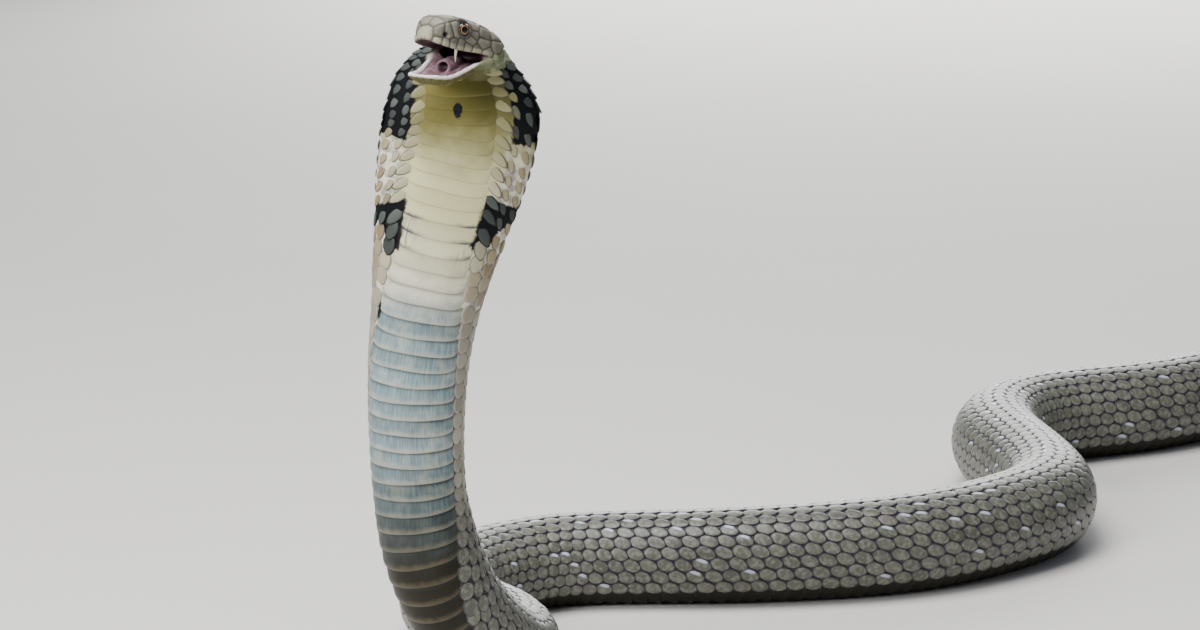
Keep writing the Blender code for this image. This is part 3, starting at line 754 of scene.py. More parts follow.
def fang_finish():
    """Ivory fang, a little pink at its root."""
    finish = Finish("cobra_fang")
    [root] = finish.attributes("root_share")
    colour = finish.mix(root.step(0.72, 0.92), (0.80, 0.74, 0.60), (0.55, 0.30, 0.28))
    stain = finish.noise(finish.place(), 1500.0, 3.0)
    return finish.wear(
        Base_Color=finish.mix(stain * 0.3, colour, (0.62, 0.50, 0.30)), Roughness=0.22,
        Specular_IOR_Level=0.5, Subsurface_Weight=0.15, Subsurface_Scale=0.001)


# ------------------------------------------------------------------ mesh helpers
def link(name, data):
    thing = bpy.data.objects.new(name, data)
    bpy.context.scene.collection.objects.link(thing)
    return thing


def mesh_from(name, points, faces, size=MM):
    """A mesh from places in mm, or in another size, and lists of corners."""
    mesh = bpy.data.meshes.new(name)
    mesh.from_pydata((np.asarray(points) * size).tolist(), [], faces)
    mesh.update()
    return mesh


def write_attribute(mesh, name, values):
    """Store a number or a vector for every vertex."""
    values = np.asarray(values, np.float32)
    kind, key = (("FLOAT", "value"), ("FLOAT_VECTOR", "vector"))[values.ndim - 1]
    mesh.attributes.new(name, kind, "POINT").data.foreach_set(key, values.ravel())


def read_all(things, key, width=1, kind=np.float32):
    """One of the numbers or vectors that all the things carry."""
    values = np.zeros(len(things) * width, kind)
    things.foreach_get(key, values)
    return values.reshape(-1, width) if width > 1 else values


def read_attribute(mesh, name):
    return read_all(mesh.attributes[name].data, "value")


def read_places(mesh):
    """A mesh's places in mm."""
    return read_all(mesh.vertices, "co", 3).astype(float) / MM


def write_places(mesh, places):
    mesh.vertices.foreach_set("co", (places * MM).astype(np.float32).ravel())
    mesh.update()


def outward(mesh):
    """Turn all the faces outward."""
    made = bmesh.new()
    made.from_mesh(mesh)
    bmesh.ops.recalc_face_normals(made, faces=made.faces)
    made.to_mesh(mesh)
    made.free()
    return mesh


def applied(thing):
    """Turn an object's modifiers into its mesh."""
    graph = bpy.context.evaluated_depsgraph_get()
    mesh = bpy.data.meshes.new_from_object(thing.evaluated_get(graph))
    old = thing.data
    thing.modifiers.clear()
    thing.data = mesh
    bpy.data.meshes.remove(old)
    return thing


def rounded(thing, levels):
    """Smooth a form by dividing its faces that many times."""
    modifier = thing.modifiers.new("round", "SUBSURF")
    modifier.levels = modifier.render_levels = levels
    return applied(thing)


def combine(target, others, operation):
    """Join the others to the target, or cut them out of it."""
    group = bpy.data.collections.new("others")
    for other in others:
        group.objects.link(other)
    modifier = target.modifiers.new("combine", "BOOLEAN")
    modifier.operation = operation
    modifier.operand_type = "COLLECTION"
    modifier.collection = group
    modifier.solver = "MANIFOLD"
    applied(target)
    for other in others:
        bpy.data.objects.remove(other, do_unlink=True)
    bpy.data.collections.remove(group)


def ring_faces(rings, sides):
    """Four-cornered faces between neighbouring closed rings of places."""
    return [
        (i * sides + k, i * sides + (k + 1) % sides,
         (i + 1) * sides + (k + 1) % sides, (i + 1) * sides + k)
        for i in range(rings - 1) for k in range(sides)
    ]


def fan(first, sides, middle):
    """Triangles from a closed ring of places to its middle."""
    return [(first + k, first + (k + 1) % sides, middle) for k in range(sides)]


def ellipsoid(name, centre, radii):
    """A round closed form in the head's frame, in mm."""
    sides, steps = 32, 16
    tilt, turn = np.meshgrid(np.arange(1, steps) * np.pi / steps,
                             np.arange(sides) * 2 * np.pi / sides, indexing="ij")
    ball = np.stack([np.sin(tilt) * np.cos(turn), np.sin(tilt) * np.sin(turn), np.cos(tilt)], 2)
    ball = np.concatenate([ball.reshape(-1, 3), [(0, 0, 1), (0, 0, -1)]])
    top = len(ball) - 2
    faces = ring_faces(steps - 1, sides)
    faces += fan(0, sides, top) + fan(top - sides, sides, top + 1)
    points = head_point(*(np.array(centre) + ball * radii).T)
    return link(name, outward(mesh_from(name, points, faces)))


def closed_form(name, rings):
    """A form through rings of places in mm, closed at both ends."""
    count, sides = len(rings), len(rings[0])
    faces = ring_faces(count, sides)
    faces += [tuple(range(sides)), tuple(range((count - 1) * sides, count * sides))]
    return link(name, outward(mesh_from(name, np.array(rings).reshape(-1, 3), faces)))


def dress(piece, material, slot, *nodes):
    """Give a finished piece its material and body, and hide the nodes it stands for; the slot is
    not used.
    """
    piece.data.materials.clear()
    piece.data.materials.append(material)
    piece.data.shade_smooth()
    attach(piece, BODY)
    if nodes:
        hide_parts(*nodes)


# --------------------------------------------------------------------- head skin
def crown_half(x, lip):
    """Left half of a section's top: share of the width out, down to the lip."""
    width, top = head_width(x), head_top(x)
    square = 1.0 - 0.45 * smoothstep(44.0, 58.0, x)
    return [(width * a, top - (top - lip) * (1.0 - b) * (square if b > 0.5 else 1.0))
            for a, b in CROWN]


def upper_half(x):
    """Left half of a section of the head: crown, lip and palate, or crown and throat."""
    if x < MOUTH_CORNER:
        return cheek_half(x)
    lip = head_lip(x)
    edge = head_width(x) * CROWN[-1][0]
    rise = PALATE_RISE * smoothstep(66.5, 58.0, x) + 0.4
    inner = max(edge - LIP_THICK, 0.45 * edge)
    return crown_half(x, lip) + [
        (inner, lip + 0.25 * rise), (inner * 0.8, lip + 0.85 * rise),
        (inner * 0.4, lip + rise), (0.0, lip + rise),
    ]


def cheek_half(x):
    """Left half of a section behind the mouth: crown, cheek and throat."""
    width, lip, low = head_width(x), head_lip(x), head_throat(x)
    return crown_half(x, lip)[:-1] + [(width * a, lip + (low - lip) * b) for a, b in THROAT]


def jaw_half(x):
    """Left half of a section of the lower jaw: mouth floor, lip, side and chin."""
    width, depth, rim = jaw_width(x), jaw_depth(x), jaw_rim(x)
    inner = max(width - LIP_THICK, 0.5 * width)
    floor = rim - JAW_FLOOR * smoothstep(62.5, 56.0, x) - 0.3
    return [
        (0.0, floor), (inner * 0.6, floor), (inner * 0.92, floor + 0.5),
        (inner, rim - 0.3), (width * 0.96, rim), (width, rim - 0.25 * depth),
        (width * 0.93, rim - 0.6 * depth), (width * 0.68, rim - 0.9 * depth),
        (width * 0.3, rim - depth), (0.0, rim - depth),
    ]


def loft(name, stations, half):
    """A rounded form through sections, each given as its left half, top to bottom."""
    rings = []
    for x in stations:
        left = half(x)
        ring = left + [(-y, z) for y, z in left[-2:0:-1]]
        rings.append([head_point(x, y, z) for y, z in ring])
    return rounded(closed_form(name, rings), 2)


HOOD_CUT = 430.0               # height where the head's fine mesh meets the body's
CUT_REACH = 66.0               # how far the hood runs down inside the head's fine mesh
RING_SIDES = 48
REARED_STEP, LYING_STEP = 4.0, 8.0
# Round forms on both sides of the head: name, place on the left, radii.
BUMPS = (("brow", (46.0, 11.0, 14.2), (8.0, 3.6, 2.2)),
         ("cheek_muscle", (16.0, 17.5, -2.0), (11.0, 7.4, 9.0)))
HOLLOWS = (("socket", EYE_PLACE, (SOCKET_RADIUS,) * 3),
           ("lore", (51.0, 18.5, 8.6), (4.6, 2.6, 3.6)),
           ("nostril", (60.0, 12.6, 2.6), (2.3, 2.9, 1.7)))
# Forward place, radius and lift above the jaw's floor, back to front.
WINDPIPE = ((22, 3.0, -1.0), (29, 4.2, 0.6), (35, 5.0, 2.2), (39.5, 5.3, 3.4),
            (41.6, 5.0, 3.9), (42.4, 4.1, 4.0), (41.6, 3.3, 4.0), (37.5, 2.9, 3.4),
            (33.0, 2.2, 2.4))
WINDPIPE_END = 42.0


def ring_grid(places):
    """Place along and angle of all the points of the body's rings."""
    return np.meshgrid(
        places, np.arange(RING_SIDES) * 2 * np.pi / RING_SIDES, indexing="ij")


def tube(places, raised, close=True):
    """Points and faces of a closed length of the body's skin."""
    points = body_place(*ring_grid(places), raised).reshape(-1, 3)
    faces = ring_faces(len(places), RING_SIDES)
    if close:
        faces.append(tuple(range(RING_SIDES))[::-1])
    faces.append(tuple(range(len(points) - RING_SIDES, len(points))))
    return points, faces


def both_sides(forms):
    return [ellipsoid(name, (x, y * side, z), radii)
            for side in (1, -1) for name, (x, y, z), radii in forms]


def windpipe_middle(x):
    """Height that the windpipe's lifts are measured from."""
    return jaw_rim(np.minimum(x, WINDPIPE_END)) - JAW_FLOOR


def windpipe_form():
    """The windpipe's round mouth, lying on the floor of the lower jaw."""
    rings = []
    for x, radius, lift in WINDPIPE:
        middle = windpipe_middle(x) + lift
        rings.append([
            head_point(x, 1.3 * radius * math.sin(a), middle + radius * math.cos(a))
            for a in np.arange(16) * 2 * np.pi / 16])
    return closed_form("windpipe_form", rings)


def head_union(sizes):
    """Head, jaw and the top of the hood as one fine closed mesh."""
    head = loft("head_form", HEAD_STATIONS, upper_half)
    hood = tube(np.linspace(4.0, CUT_REACH, 32), -sizes.skin_depth / MM)
    extra = [
        link("hood_form", mesh_from("hood_form", *hood)),
        loft("jaw_form", JAW_STATIONS, jaw_half),
        loft("cheek_form", (0, 1, 4, 9, 14.5, 20, 24, 26), cheek_half),
    ]
    combine(head, extra + both_sides(BUMPS), "UNION")
    gullet = ellipsoid("gullet", (25.0, 0.0, -3.6), (14.0, 15.0, 5.4))
    combine(head, [gullet] + both_sides(HOLLOWS), "DIFFERENCE")
    combine(head, [windpipe_form()], "UNION")
    modifier = head.modifiers.new("even", "REMESH")
    modifier.mode = "VOXEL"
    modifier.voxel_size = sizes.head_cell
    return applied(head)


class Net:
    """The neighbours of a mesh's vertices, for smoothing values over it."""

    def __init__(self, mesh):
        ends = read_all(mesh.edges, "vertices", 2, np.int32)
        self.first, self.second = ends.T
        self.size = len(mesh.vertices)
        self.count = np.bincount(ends.ravel(), minlength=self.size)[:, None]

    def mean(self, rows):
        total = np.zeros_like(rows)
        for k in range(rows.shape[1]):
            total[:, k] = np.bincount(self.first, rows[self.second, k], self.size)
            total[:, k] += np.bincount(self.second, rows[self.first, k], self.size)
        return total / self.count

    def smooth(self, rows, weight, times):
        """Move the values that often towards the mean of their neighbours."""
        if rows.ndim == 1:
            return self.smooth(rows[:, None], weight, times)[:, 0]
        for _ in range(times):
            rows = rows + (self.mean(rows) - rows) * weight
        return rows


SEAM_WIDTH = 0.36
FAR_AWAY = 1e9
# Head shields: name, forward place, side place, height (None where it follows
# from the crown), reach.  Those with a side place stand on both sides.
SHIELDS = (
    ("rostral", 66.5, 0.0, 0.0, 5.6), ("internasal", 63.6, 3.8, 10.4, 0.6),
    ("prefrontal", 56.2, 5.4, None, 1.6), ("frontal", 47.0, 0.0, None, 3.0),
    ("supraocular", 46.6, 10.2, None, 1.0), ("parietal", 33.6, 6.6, None, 5.0),
    ("occipital", 20.0, 6.2, None, 2.0), ("front_nasal", 63.2, 8.6, 3.2, 0.0),
    ("rear_nasal", 58.0, 13.6, 4.0, 0.0), ("preocular", 53.4, 14.6, 6.4, 0.0),
    ("high_postocular", 38.8, 16.0, 12.6, 0.0), ("mid_postocular", 39.4, 18.6, 8.2, 0.0),
    ("low_postocular", 41.0, 18.6, 4.2, 0.0), ("high_temporal", 31.0, 20.2, 10.4, 2.0),
    ("low_temporal", 31.6, 21.8, 4.0, 2.0), ("rear_high_temporal", 22.0, 21.0, 11.4, 2.0),
    ("rear_low_temporal", 21.4, 24.0, 4.4, 2.0), ("side_occipital", 27.0, 14.6, None, 1.0),
    ("rear_side_occipital", 15.6, 15.4, None, 0.0),
    ("lip_1", 62.8, 8.6, -2.6, 0.0), ("lip_2", 58.6, 12.8, -2.9, 0.0),
    ("lip_3", 53.8, 14.6, -1.6, 1.0), ("lip_4", 47.8, 16.0, -1.6, 1.0),
    ("lip_5", 41.8, 17.6, -1.6, 1.0), ("lip_6", 35.0, 20.0, -1.6, 2.0),
    ("lip_7", 27.6, 22.6, -1.4, 2.0),
)
# Cells round the shields that are no shields themselves, in the same form.
BORDERS = (
    ("nape", 8.0, 0.0, None, 0.0), ("nape_side", 7.6, 10.0, None, 0.0),
    ("nape_corner", 8.0, 19.0, 8.0, 0.0), ("cheek_high", 12.6, 23.0, 2.0, 0.0),
    ("cheek_low", 18.6, 25.0, -3.6, 0.0), ("cheek_front", 23.6, 24.0, -5.8, 0.0),
)
LOWER_SHIELDS = (
    ("mental", 62.6, 0.0, -27.6, 0.6), ("low_lip_1", 61.2, 5.0, -27.4, 0.0),
    ("low_lip_2", 57.8, 10.6, -26.8, 0.0), ("low_lip_3", 53.4, 13.6, -26.4, 0.0),
    ("low_lip_4", 48.4, 15.2, -24.0, 0.6), ("low_lip_5", 43.0, 16.8, -20.6, 0.6),
    ("low_lip_6", 37.4, 18.8, -16.2, 0.6), ("low_lip_7", 31.8, 21.0, -11.8, 0.6),
    ("front_chin", 54.0, 5.0, -32.0, 1.6), ("rear_chin", 44.4, 5.6, -28.6, 1.6),
)
LOWER_BORDERS = (
    ("gular_front", 50.0, 10.6, -31.0, 0.0), ("gular_side", 43.0, 13.4, -27.0, 0.0),
    ("gular_mid", 36.0, 5.0, -23.6, 0.0), ("gular_rear", 36.6, 15.6, -22.0, 0.0),
    ("gular_corner", 29.0, 20.0, -17.6, 0.0), ("gular_low", 28.0, 9.0, -20.6, 0.0),
)


def seeds_of(shields, borders):
    """Places, reaches and whether each cell is a shield, on both sides."""
    rows = []
    for table, real in ((shields, 1.0), (borders, 0.0)):
        for _, x, y, z, reach in table:
            if z is None:
                share = min(abs(y) / head_width(x), 1.0)
                height = np.interp(share, *np.array(CROWN[:6]).T)
                z = head_lip(x) + (head_top(x) - head_lip(x)) * height
            for side in ((1, -1) if y else (1,)):
                rows.append((x, y * side, z, reach, real))
    return np.array(rows)


def shield_cells(points, rows):
    """For each place: its cell, distance to the cell's border, and shield or not."""
    gap = points[:, None, :] - rows[None, :, :3]
    power = np.sum(gap * gap, axis=2) - rows[None, :, 3] ** 2
    order = np.argsort(power, axis=1)
    best = order[:, 0]
    near = np.full(len(points), FAR_AWAY)
    line = np.arange(len(points))
    for other in (order[:, 1], order[:, 2]):
        between = np.linalg.norm(rows[best, :3] - rows[other, :3], axis=1)
        away = (power[line, other] - power[line, best]) / (2 * between)
        both_bare = (rows[best, 4] + rows[other, 4]) == 0
        near = np.minimum(near, np.where(both_bare, FAR_AWAY, away))
    return best, near, rows[best, 4], np.sqrt(np.maximum(power[line, best], 0))


def place_at(height):
    """Place along the centre-line of a height on the upright hood."""
    return np.interp(-height, -LINE.centre[:HOOD_REACH, 2], LINE.places[:HOOD_REACH])


def on_hood(places):
    """Place along, angle and height above the hood's own surface, and distance across."""
    s = place_at(places[:, 2])
    centre, belly, left = LINE.frame(s)
    away = places - centre
    across, forward = np.sum(away * left, 1), np.sum(away * belly, 1)
    depth = np.where(forward > 0, belly_depth(s), back_height(s))
    angle = np.arctan2(across / half_width(s), forward / depth)
    surface = np.linalg.norm(body_place(s, angle) - centre, axis=1)
    return s, angle, np.linalg.norm(away, axis=1) - surface, across


def pair_distance(places, x, y, z):
    """Distance from the nearer of a place of the head and its twin on the other side."""
    return np.min([
        np.linalg.norm(places - head_point(x, y * side, z), axis=1) for side in (1, -1)
    ], axis=0)


def smooth_joins(net, places):
    """Melt the head into the nape and the cheeks into the jaw."""
    x, y, z = head_frame(places)
    nape = smoothstep(17.0, 10.0, x) * smoothstep(-60.0, -30.0, z)
    cheek = smoothstep(10.0, 3.0, np.abs(x - 25.0)) * smoothstep(-4.0, -8.0, z)
    cheek *= smoothstep(14.0, 20.0, np.abs(y))
    weight = np.clip(0.9 * np.maximum(nape, cheek), 0, 0.9)[:, None]
    return net.smooth(net.smooth(places, weight, 60), 0.5, 3)


def inside_mouth(places, normals):
    """Where the jaw is, and shares of mouth lining, painted shade deep in the throat and the
    windpipe, painted shade on the roof, and pale rim.
    """
    x, y, z = head_frame(places)
    lip, rim = head_lip(x), jaw_rim(x)
    up, ahead = normals @ UP, normals @ FORWARD
    inward = -(normals @ LEFT) * np.sign(y)
    lower = (x > MOUTH_CORNER - 3) & (z < (lip + rim) / 2) & (np.abs(y) < 27)
    bore = np.hypot(y / 1.3, z - windpipe_middle(x) - 3.4)
    lower |= (bore < 7.0) & (x > MOUTH_CORNER - 3) & (x < 45.0) & (np.abs(y) < 8.0)
    inner = np.where(lower, jaw_width(x) - 0.8 * LIP_THICK, head_width(x) - 0.6 * LIP_THICK)
    inner = np.maximum(inner, 2.0)
    faces_in = (inward > 0.30) | (ahead < -0.35)
    palate = ~lower & (x > 10.0) & (x < 65.5) & ((up < -0.25) | faces_in)
    palate &= (np.abs(y) < inner) & (z > lip - 1.4) & (z < lip + 6.5)
    palate |= ~lower & (x > 10.0) & (x < 34) & (np.abs(y) < 19.5) & (np.abs(z - lip) < 5.5)
    floor = lower & (np.abs(y) < inner - 1.5 * (x < 34)) & (z > rim - 7.5) & (x < 61.6)
    floor &= (up > 0.15) | faces_in | (x < 46) & (z > rim - 5.5)
    floor &= (inward > -0.2) | (up > 0.5) | (np.abs(y) < 9.0)
    lining = (palate | floor).astype(float)
    lining[(x < MOUTH_CORNER) & (np.abs(y) > head_width(x) * 0.93)] = 0.0
    gum = lower * smoothstep(2.3, 1.7, rim - z) * smoothstep(27.0, 33.0, x - 3.0 * (y < 0))
    gum *= (z < rim + 1.4) & ((jaw_width(x) - np.abs(y) < 3.6) | (x > 58.6))
    # Painted shade: darker deep in the throat and inside the windpipe's bore.
    bore = smoothstep(3.3, 2.7, bore) * smoothstep(42.2, 41.0, x) * lower
    dark = lining * np.maximum(smoothstep(36.0, 26.0, x), 0.85 * bore)
    return lower, lining, dark, lining * palate, gum


def shape_head(mesh, sizes):
    """Smooth the head's joins, sink the grooves and write what the finish reads."""
    net = Net(mesh)
    places = smooth_joins(net, read_places(mesh))
    write_places(mesh, places)
    normals = read_all(mesh.vertices, "normal", 3)
    x, y, z = head_frame(places)
    from_eye = pair_distance(places, *EYE_PLACE) - EYE_RADIUS
    lower, lining, gullet, roof, gum = inside_mouth(places, normals)
    outside = 1.0 - lining
    s, angle, height, across = on_hood(places)
    wing = smoothstep(20.0, 24.0, np.abs(y))
    beside = np.maximum(smoothstep(16.0, 10.0, x), wing)
    hood = smoothstep(1.7 + 1.6 * wing, 0.4 + 1.2 * wing, height) * beside
    gum *= 1 - hood

    seam, tone, plated, away = (np.zeros(len(x)) for _ in range(4))
    head_points = np.stack([x, y, z], axis=1)
    for mask, tables in ((~lower, (SHIELDS, BORDERS)), (lower, (LOWER_SHIELDS, LOWER_BORDERS))):
        rows = seeds_of(*tables)
        best, near, real, radius = shield_cells(head_points[mask], rows)
        seam[mask] = np.exp(-(near / SEAM_WIDTH) ** 2)
        tone[mask] = np.random.default_rng(7).random(len(rows))[best]
        plated[mask] = real * smoothstep(15.0, 12.5, radius)
        away[mask] = np.minimum(near, 9.0)
    plated *= 1 - hood
    edge = (net.smooth(plated, 0.6, 4) > 0.05) * outside
    edge = edge * smoothstep(0.9, 1.9, from_eye)
    socket = np.exp(-((from_eye - 1.5) / 0.8) ** 2) * outside
    x0, y0, z0 = NOSTRIL_PLACE
    # Painted shade inside the nostril hollows.
    nostril = smoothstep(2.2, 1.5, pair_distance(places, x0, y0 - 0.8, z0))
    groove = np.exp(-(away / (1.5 * SEAM_WIDTH)) ** 2) * edge
    pillow = 0.30 * (1 - np.exp(-(away / 1.4) ** 2)) * plated * outside
    pillow *= np.where(lower, 0.5, 1.0)
    snout = np.maximum(1 - (y / 7.4) ** 2 - ((z - 0.4) / 5.8) ** 2, 0) ** 0.7
    snout = snout * (x > 60.0) * ~lower * outside
    ring = np.exp(-((from_eye - 0.7) / 0.55) ** 2) * outside
    depth = sizes.groove_depth / MM * np.where(lower, 0.6, 1.0) * (1 - 0.9 * gum)
    move = pillow - groove * depth + 1.9 * snout + 0.30 * ring + 0.35 * gum
    write_places(mesh, places + normals * move[:, None])

    upper_lip = smoothstep(4.4, 2.6, z - head_lip(x)) * smoothstep(22.0, 30.0, x) * ~lower
    seam = seam * edge * np.where(lower, 0.5, 1.0) * (1 - gum)
    seam = np.minimum(1.3 * net.smooth(seam, 0.5, 1), 1.0)
    seam = np.maximum(seam, 0.85 * socket)
    lined = net.smooth(lining, 0.6, 5)
    shield, throat, lined, gullet, roof = net.smooth(np.stack([
        plated * ~lower * outside, 1 - hood, lined, gullet, roof,
    ], 1), 0.6, 3).T
    values = {
        "along": s * MM, "around": np.abs(angle) / np.pi, "across": across * MM,
        "seam": np.clip(np.maximum(seam, nostril), 0, 1), "tone": tone,
        "shield": shield, "lip": np.maximum(upper_lip, snout) * outside,
        # The seam value also carries the painted shade inside the nostrils.
        "lining": lined, "gullet": gullet, "roof": roof, "gum": net.smooth(gum, 0.5, 1),
        "throat": throat * (1 - shield), "lift": smoothstep(-17.0, -5.0, z),
        "plated": plated, "hood": hood,
    }
    for name, rows in values.items():
        write_attribute(mesh, name, rows)
    return list(values)


def zip_loops(first, second, s, points):
    """Triangles between two loops round the body near s, matched by angle."""
    centre, belly, left = LINE.frame(s)

    def turned(loop):
        away = points[loop] - centre
        angle = np.arctan2(away @ left, away @ belly)
        order = np.argsort(angle)
        return [loop[i] for i in order], [*angle[order], 9.0]

    a, angle_a = turned(first)
    b, angle_b = turned(second)
    faces, i, k = [], 0, 0
    while i < len(a) or k < len(b):
        if angle_a[i] <= angle_b[k]:
            faces.append((a[i - 1], a[i], b[k - 1]))
            i += 1
        else:
            faces.append((a[i - 1], b[k], b[k - 1]))
            k += 1
    return faces


def keep_largest(made):
    """Leave only the largest connected piece of a mesh in the making."""
    made.verts.index_update()
    seen, groups = set(), []
    for start in made.verts:
        if start.index in seen:
            continue
        group, todo = [], [start]
        seen.add(start.index)
        while todo:
            vert = todo.pop()
            group.append(vert)
            for edge in vert.link_edges:
                other = edge.other_vert(vert)
                if other.index not in seen:
                    seen.add(other.index)
                    todo.append(other)
        groups.append(group)
    groups.sort(key=len)
    for group in groups[:-1]:
        bmesh.ops.delete(made, geom=group, context="VERTS")
    made.verts.index_update()


def cut_head(mesh):
    """Cut the head's mesh off level below the hood's top; gives the open rim."""
    made = bmesh.new()
    made.from_mesh(mesh)
    bmesh.ops.bisect_plane(
        made, geom=made.verts[:] + made.edges[:] + made.faces[:],
        plane_co=(0, 0, HOOD_CUT * MM), plane_no=(0, 0, -1), clear_outer=True)
    keep_largest(made)
    made.to_mesh(mesh)
    rim = [v.index for v in made.verts if v.is_boundary]
    made.free()
    return rim


def body_values(s, angle):
    """What the finishes read of places on the body."""
    wrapped = (angle + np.pi) % (2 * np.pi) - np.pi
    return {"along": s * MM, "around": np.abs(wrapped) / np.pi,
            "across": half_width(s) * np.sin(angle) * MM}


def build_skin(context):
    """The one skin of the whole snake."""
    sizes = context.scene.cobra_sizes
    head = head_union(sizes)
    old = head.data
    names = shape_head(old, sizes)
    rim = cut_head(old)
    head_places = read_places(old)
    count = len(head_places)
    depth = -sizes.skin_depth / MM
    start = place_at(HOOD_CUT) + 3.0
    while body_place(start, np.linspace(0, 2 * np.pi, 24), depth)[:, 2].max() > HOOD_CUT - 1.0:
        start += 0.5
    places = np.concatenate([
        np.arange(start, LYING_END + 40, REARED_STEP),
        np.arange(LYING_END + 40, LINE.length - 3.0, LYING_STEP), [LINE.length - 1.0]])
    fade = np.minimum(1.0, half_width(places) / THIN)
    rings, faces = tube(places, (depth * fade)[:, None], close=False)
    points = np.concatenate([head_places, rings])
    polygons = [tuple(p.vertices) for p in old.polygons]
    polygons += [tuple(i + count for i in face) for face in faces]
    polygons += zip_loops(rim, list(range(count, count + RING_SIDES)), start, points)
    mesh = mesh_from("cobra_skin", points, polygons)
    body = {k: v.ravel() for k, v in body_values(*ring_grid(places)).items()}
    body["hood"] = np.ones(len(rings))
    for name in names:
        values = body.get(name, np.zeros(len(rings)))
        write_attribute(mesh, name, np.concatenate([read_attribute(old, name), values]))
    bpy.data.objects.remove(head, do_unlink=True)
    bpy.data.meshes.remove(old)
    return link("skin", outward(mesh))


# ------------------------------------------------------------------ scale shapes
SCALE_SLOPE = 0.5              # how much the tail end stands above the head end
# Pairs (share of the outline, height) from the foot of the rim inwards.
SCALE_RIM = ((0.97, -0.95), (1.0, -0.15), (0.90, 0.22), (0.55, 0.42))
BEAD_RIM = ((0.96, -0.9), (1.0, -0.10), (0.84, 0.38), (0.45, 0.62))


def scale_shape(name, sides, roundness, taper, heights):
    """One scale, 1 long and 1 wide, tail end towards +X, for setting many times.

    The lower the roundness, the squarer the outline; taper narrows it towards the
    tail end.
    """
    turn = 2 * np.pi * (np.arange(sides) + 0.5) / sides
    c, s = np.cos(turn), np.sin(turn)
    points, rim = [], []
    for share, height in heights:
        x = 0.5 * np.copysign(np.abs(c) ** roundness, c) * share
        y = 0.5 * np.copysign(np.abs(s) ** roundness, s) * share
        y = y * (1.0 - 0.10 * (2 * x) ** 2 - taper * np.maximum(2 * x, 0.0) ** 1.6)
        points.extend(zip(x, y, height + SCALE_SLOPE * x))
        rim.extend([share] * sides)
    middle = len(points)
    points.append((0.0, 0.0, heights[-1][1] + 0.02))
    faces = ring_faces(len(heights), sides) + fan(middle - sides, sides, middle)
    mesh = mesh_from(name, points, faces, 1.0)
    write_attribute(mesh, "rim", rim + [0.0])
    write_attribute(mesh, "local", np.array(points) * (1, 1, 0) + (0.5, 0.5, 0))
    return link(name, mesh)


PATCH = 0.003                  # side of each scale's patch on the baking map
STRIPS = 8                     # strips of the body on the baking map


def bake_root(s, angle):
    """Where a place on the body lies on the folded strips of the baking map."""
    strip_length = LINE.length / STRIPS
    strip = np.floor(s / strip_length)
    u = (s - strip * strip_length) / strip_length
    v = (strip + 0.04 + 0.92 * ((angle / (2 * np.pi)) % 1.0)) / STRIPS
    return np.stack([0.01 + 0.97 * u, v, 0 * u], axis=-1)


def lay_tree():
    """The Geometry Nodes tree that sets one shape on every point of a mesh."""
    tree = bpy.data.node_groups.new("Lay scales", "GeometryNodeTree")
    for name, kind in (("Geometry", "Geometry"), ("Scale shape", "Object"),
                       ("Finish", "Material"), ("Patch size", "Float")):
        tree.interface.new_socket(name, in_out="INPUT", socket_type="NodeSocket" + kind)
    tree.interface.new_socket("Geometry", in_out="OUTPUT", socket_type="NodeSocketGeometry")

    def add(kind, inputs=(), key=0, **settings):
        return add_node(tree, kind, inputs, **settings).outputs[key]

    def named(attribute):
        return add("GeometryNodeInputNamedAttribute", {"Name": attribute}, "Attribute",
                   data_type="FLOAT_VECTOR")

    entry = add_node(tree, "NodeGroupInput").outputs
    shape = add("GeometryNodeObjectInfo", {"Object": entry["Scale shape"]}, "Geometry")
    turn = add("FunctionNodeAxesToRotation",
               {"Primary Axis": named("out"), "Secondary Axis": named("tailward")},
               primary_axis="Z", secondary_axis="X")
    points = add("GeometryNodeMeshToPoints", {"Mesh": entry["Geometry"]})
    laid = add("GeometryNodeInstanceOnPoints", {
        "Points": points, "Instance": shape, "Rotation": turn, "Scale": named("size")})
    real = add("GeometryNodeRealizeInstances", {"Geometry": laid})
    patch = add("ShaderNodeVectorMath", {0: named("local"), "Scale": entry["Patch size"]},
                operation="SCALE")
    spot = add("ShaderNodeVectorMath", {0: named("root"), 1: patch}, operation="ADD")
    stored = add("GeometryNodeStoreNamedAttribute",
                 {"Name": "OFBake", "Geometry": real, "Value": spot},
                 data_type="FLOAT2", domain="CORNER")
    painted = add("GeometryNodeSetMaterial", {"Geometry": stored, "Material": entry["Finish"]})
    add_node(tree, "NodeGroupOutput", {"Geometry": painted})
    return tree


def lay_scales(name, shape, material, rows):
    """Set the shape on every place in the rows and return the finished mesh."""
    mesh = mesh_from(name + "_places", rows["place"], [])
    for key, values in rows.items():
        if key not in ("place", "s"):
            write_attribute(mesh, key, values)
    thing = link(name, mesh)
    tree = bpy.data.node_groups.get("Lay scales") or lay_tree()
    modifier = thing.modifiers.new("lay", "NODES")
    modifier.node_group = tree
    sockets = {i.name: i.identifier for i in tree.interface.items_tree if i.in_out == "INPUT"}
    modifier[sockets["Scale shape"]] = shape
    modifier[sockets["Finish"]] = material
    modifier[sockets["Patch size"]] = PATCH
    applied(thing)
    mesh = thing.data
    local = read_all(mesh.attributes["local"].data, "vector", 3)
    side = read_attribute(mesh, "side")
    write_attribute(mesh, "tail_share", local[:, 0])
    write_attribute(mesh, "back_share", 0.5 + side * (local[:, 1] - 0.5))
    for key in ("out", "tailward", "size", "root", "local", "side"):
        if key in mesh.attributes:
            mesh.attributes.remove(mesh.attributes[key])
    return thing


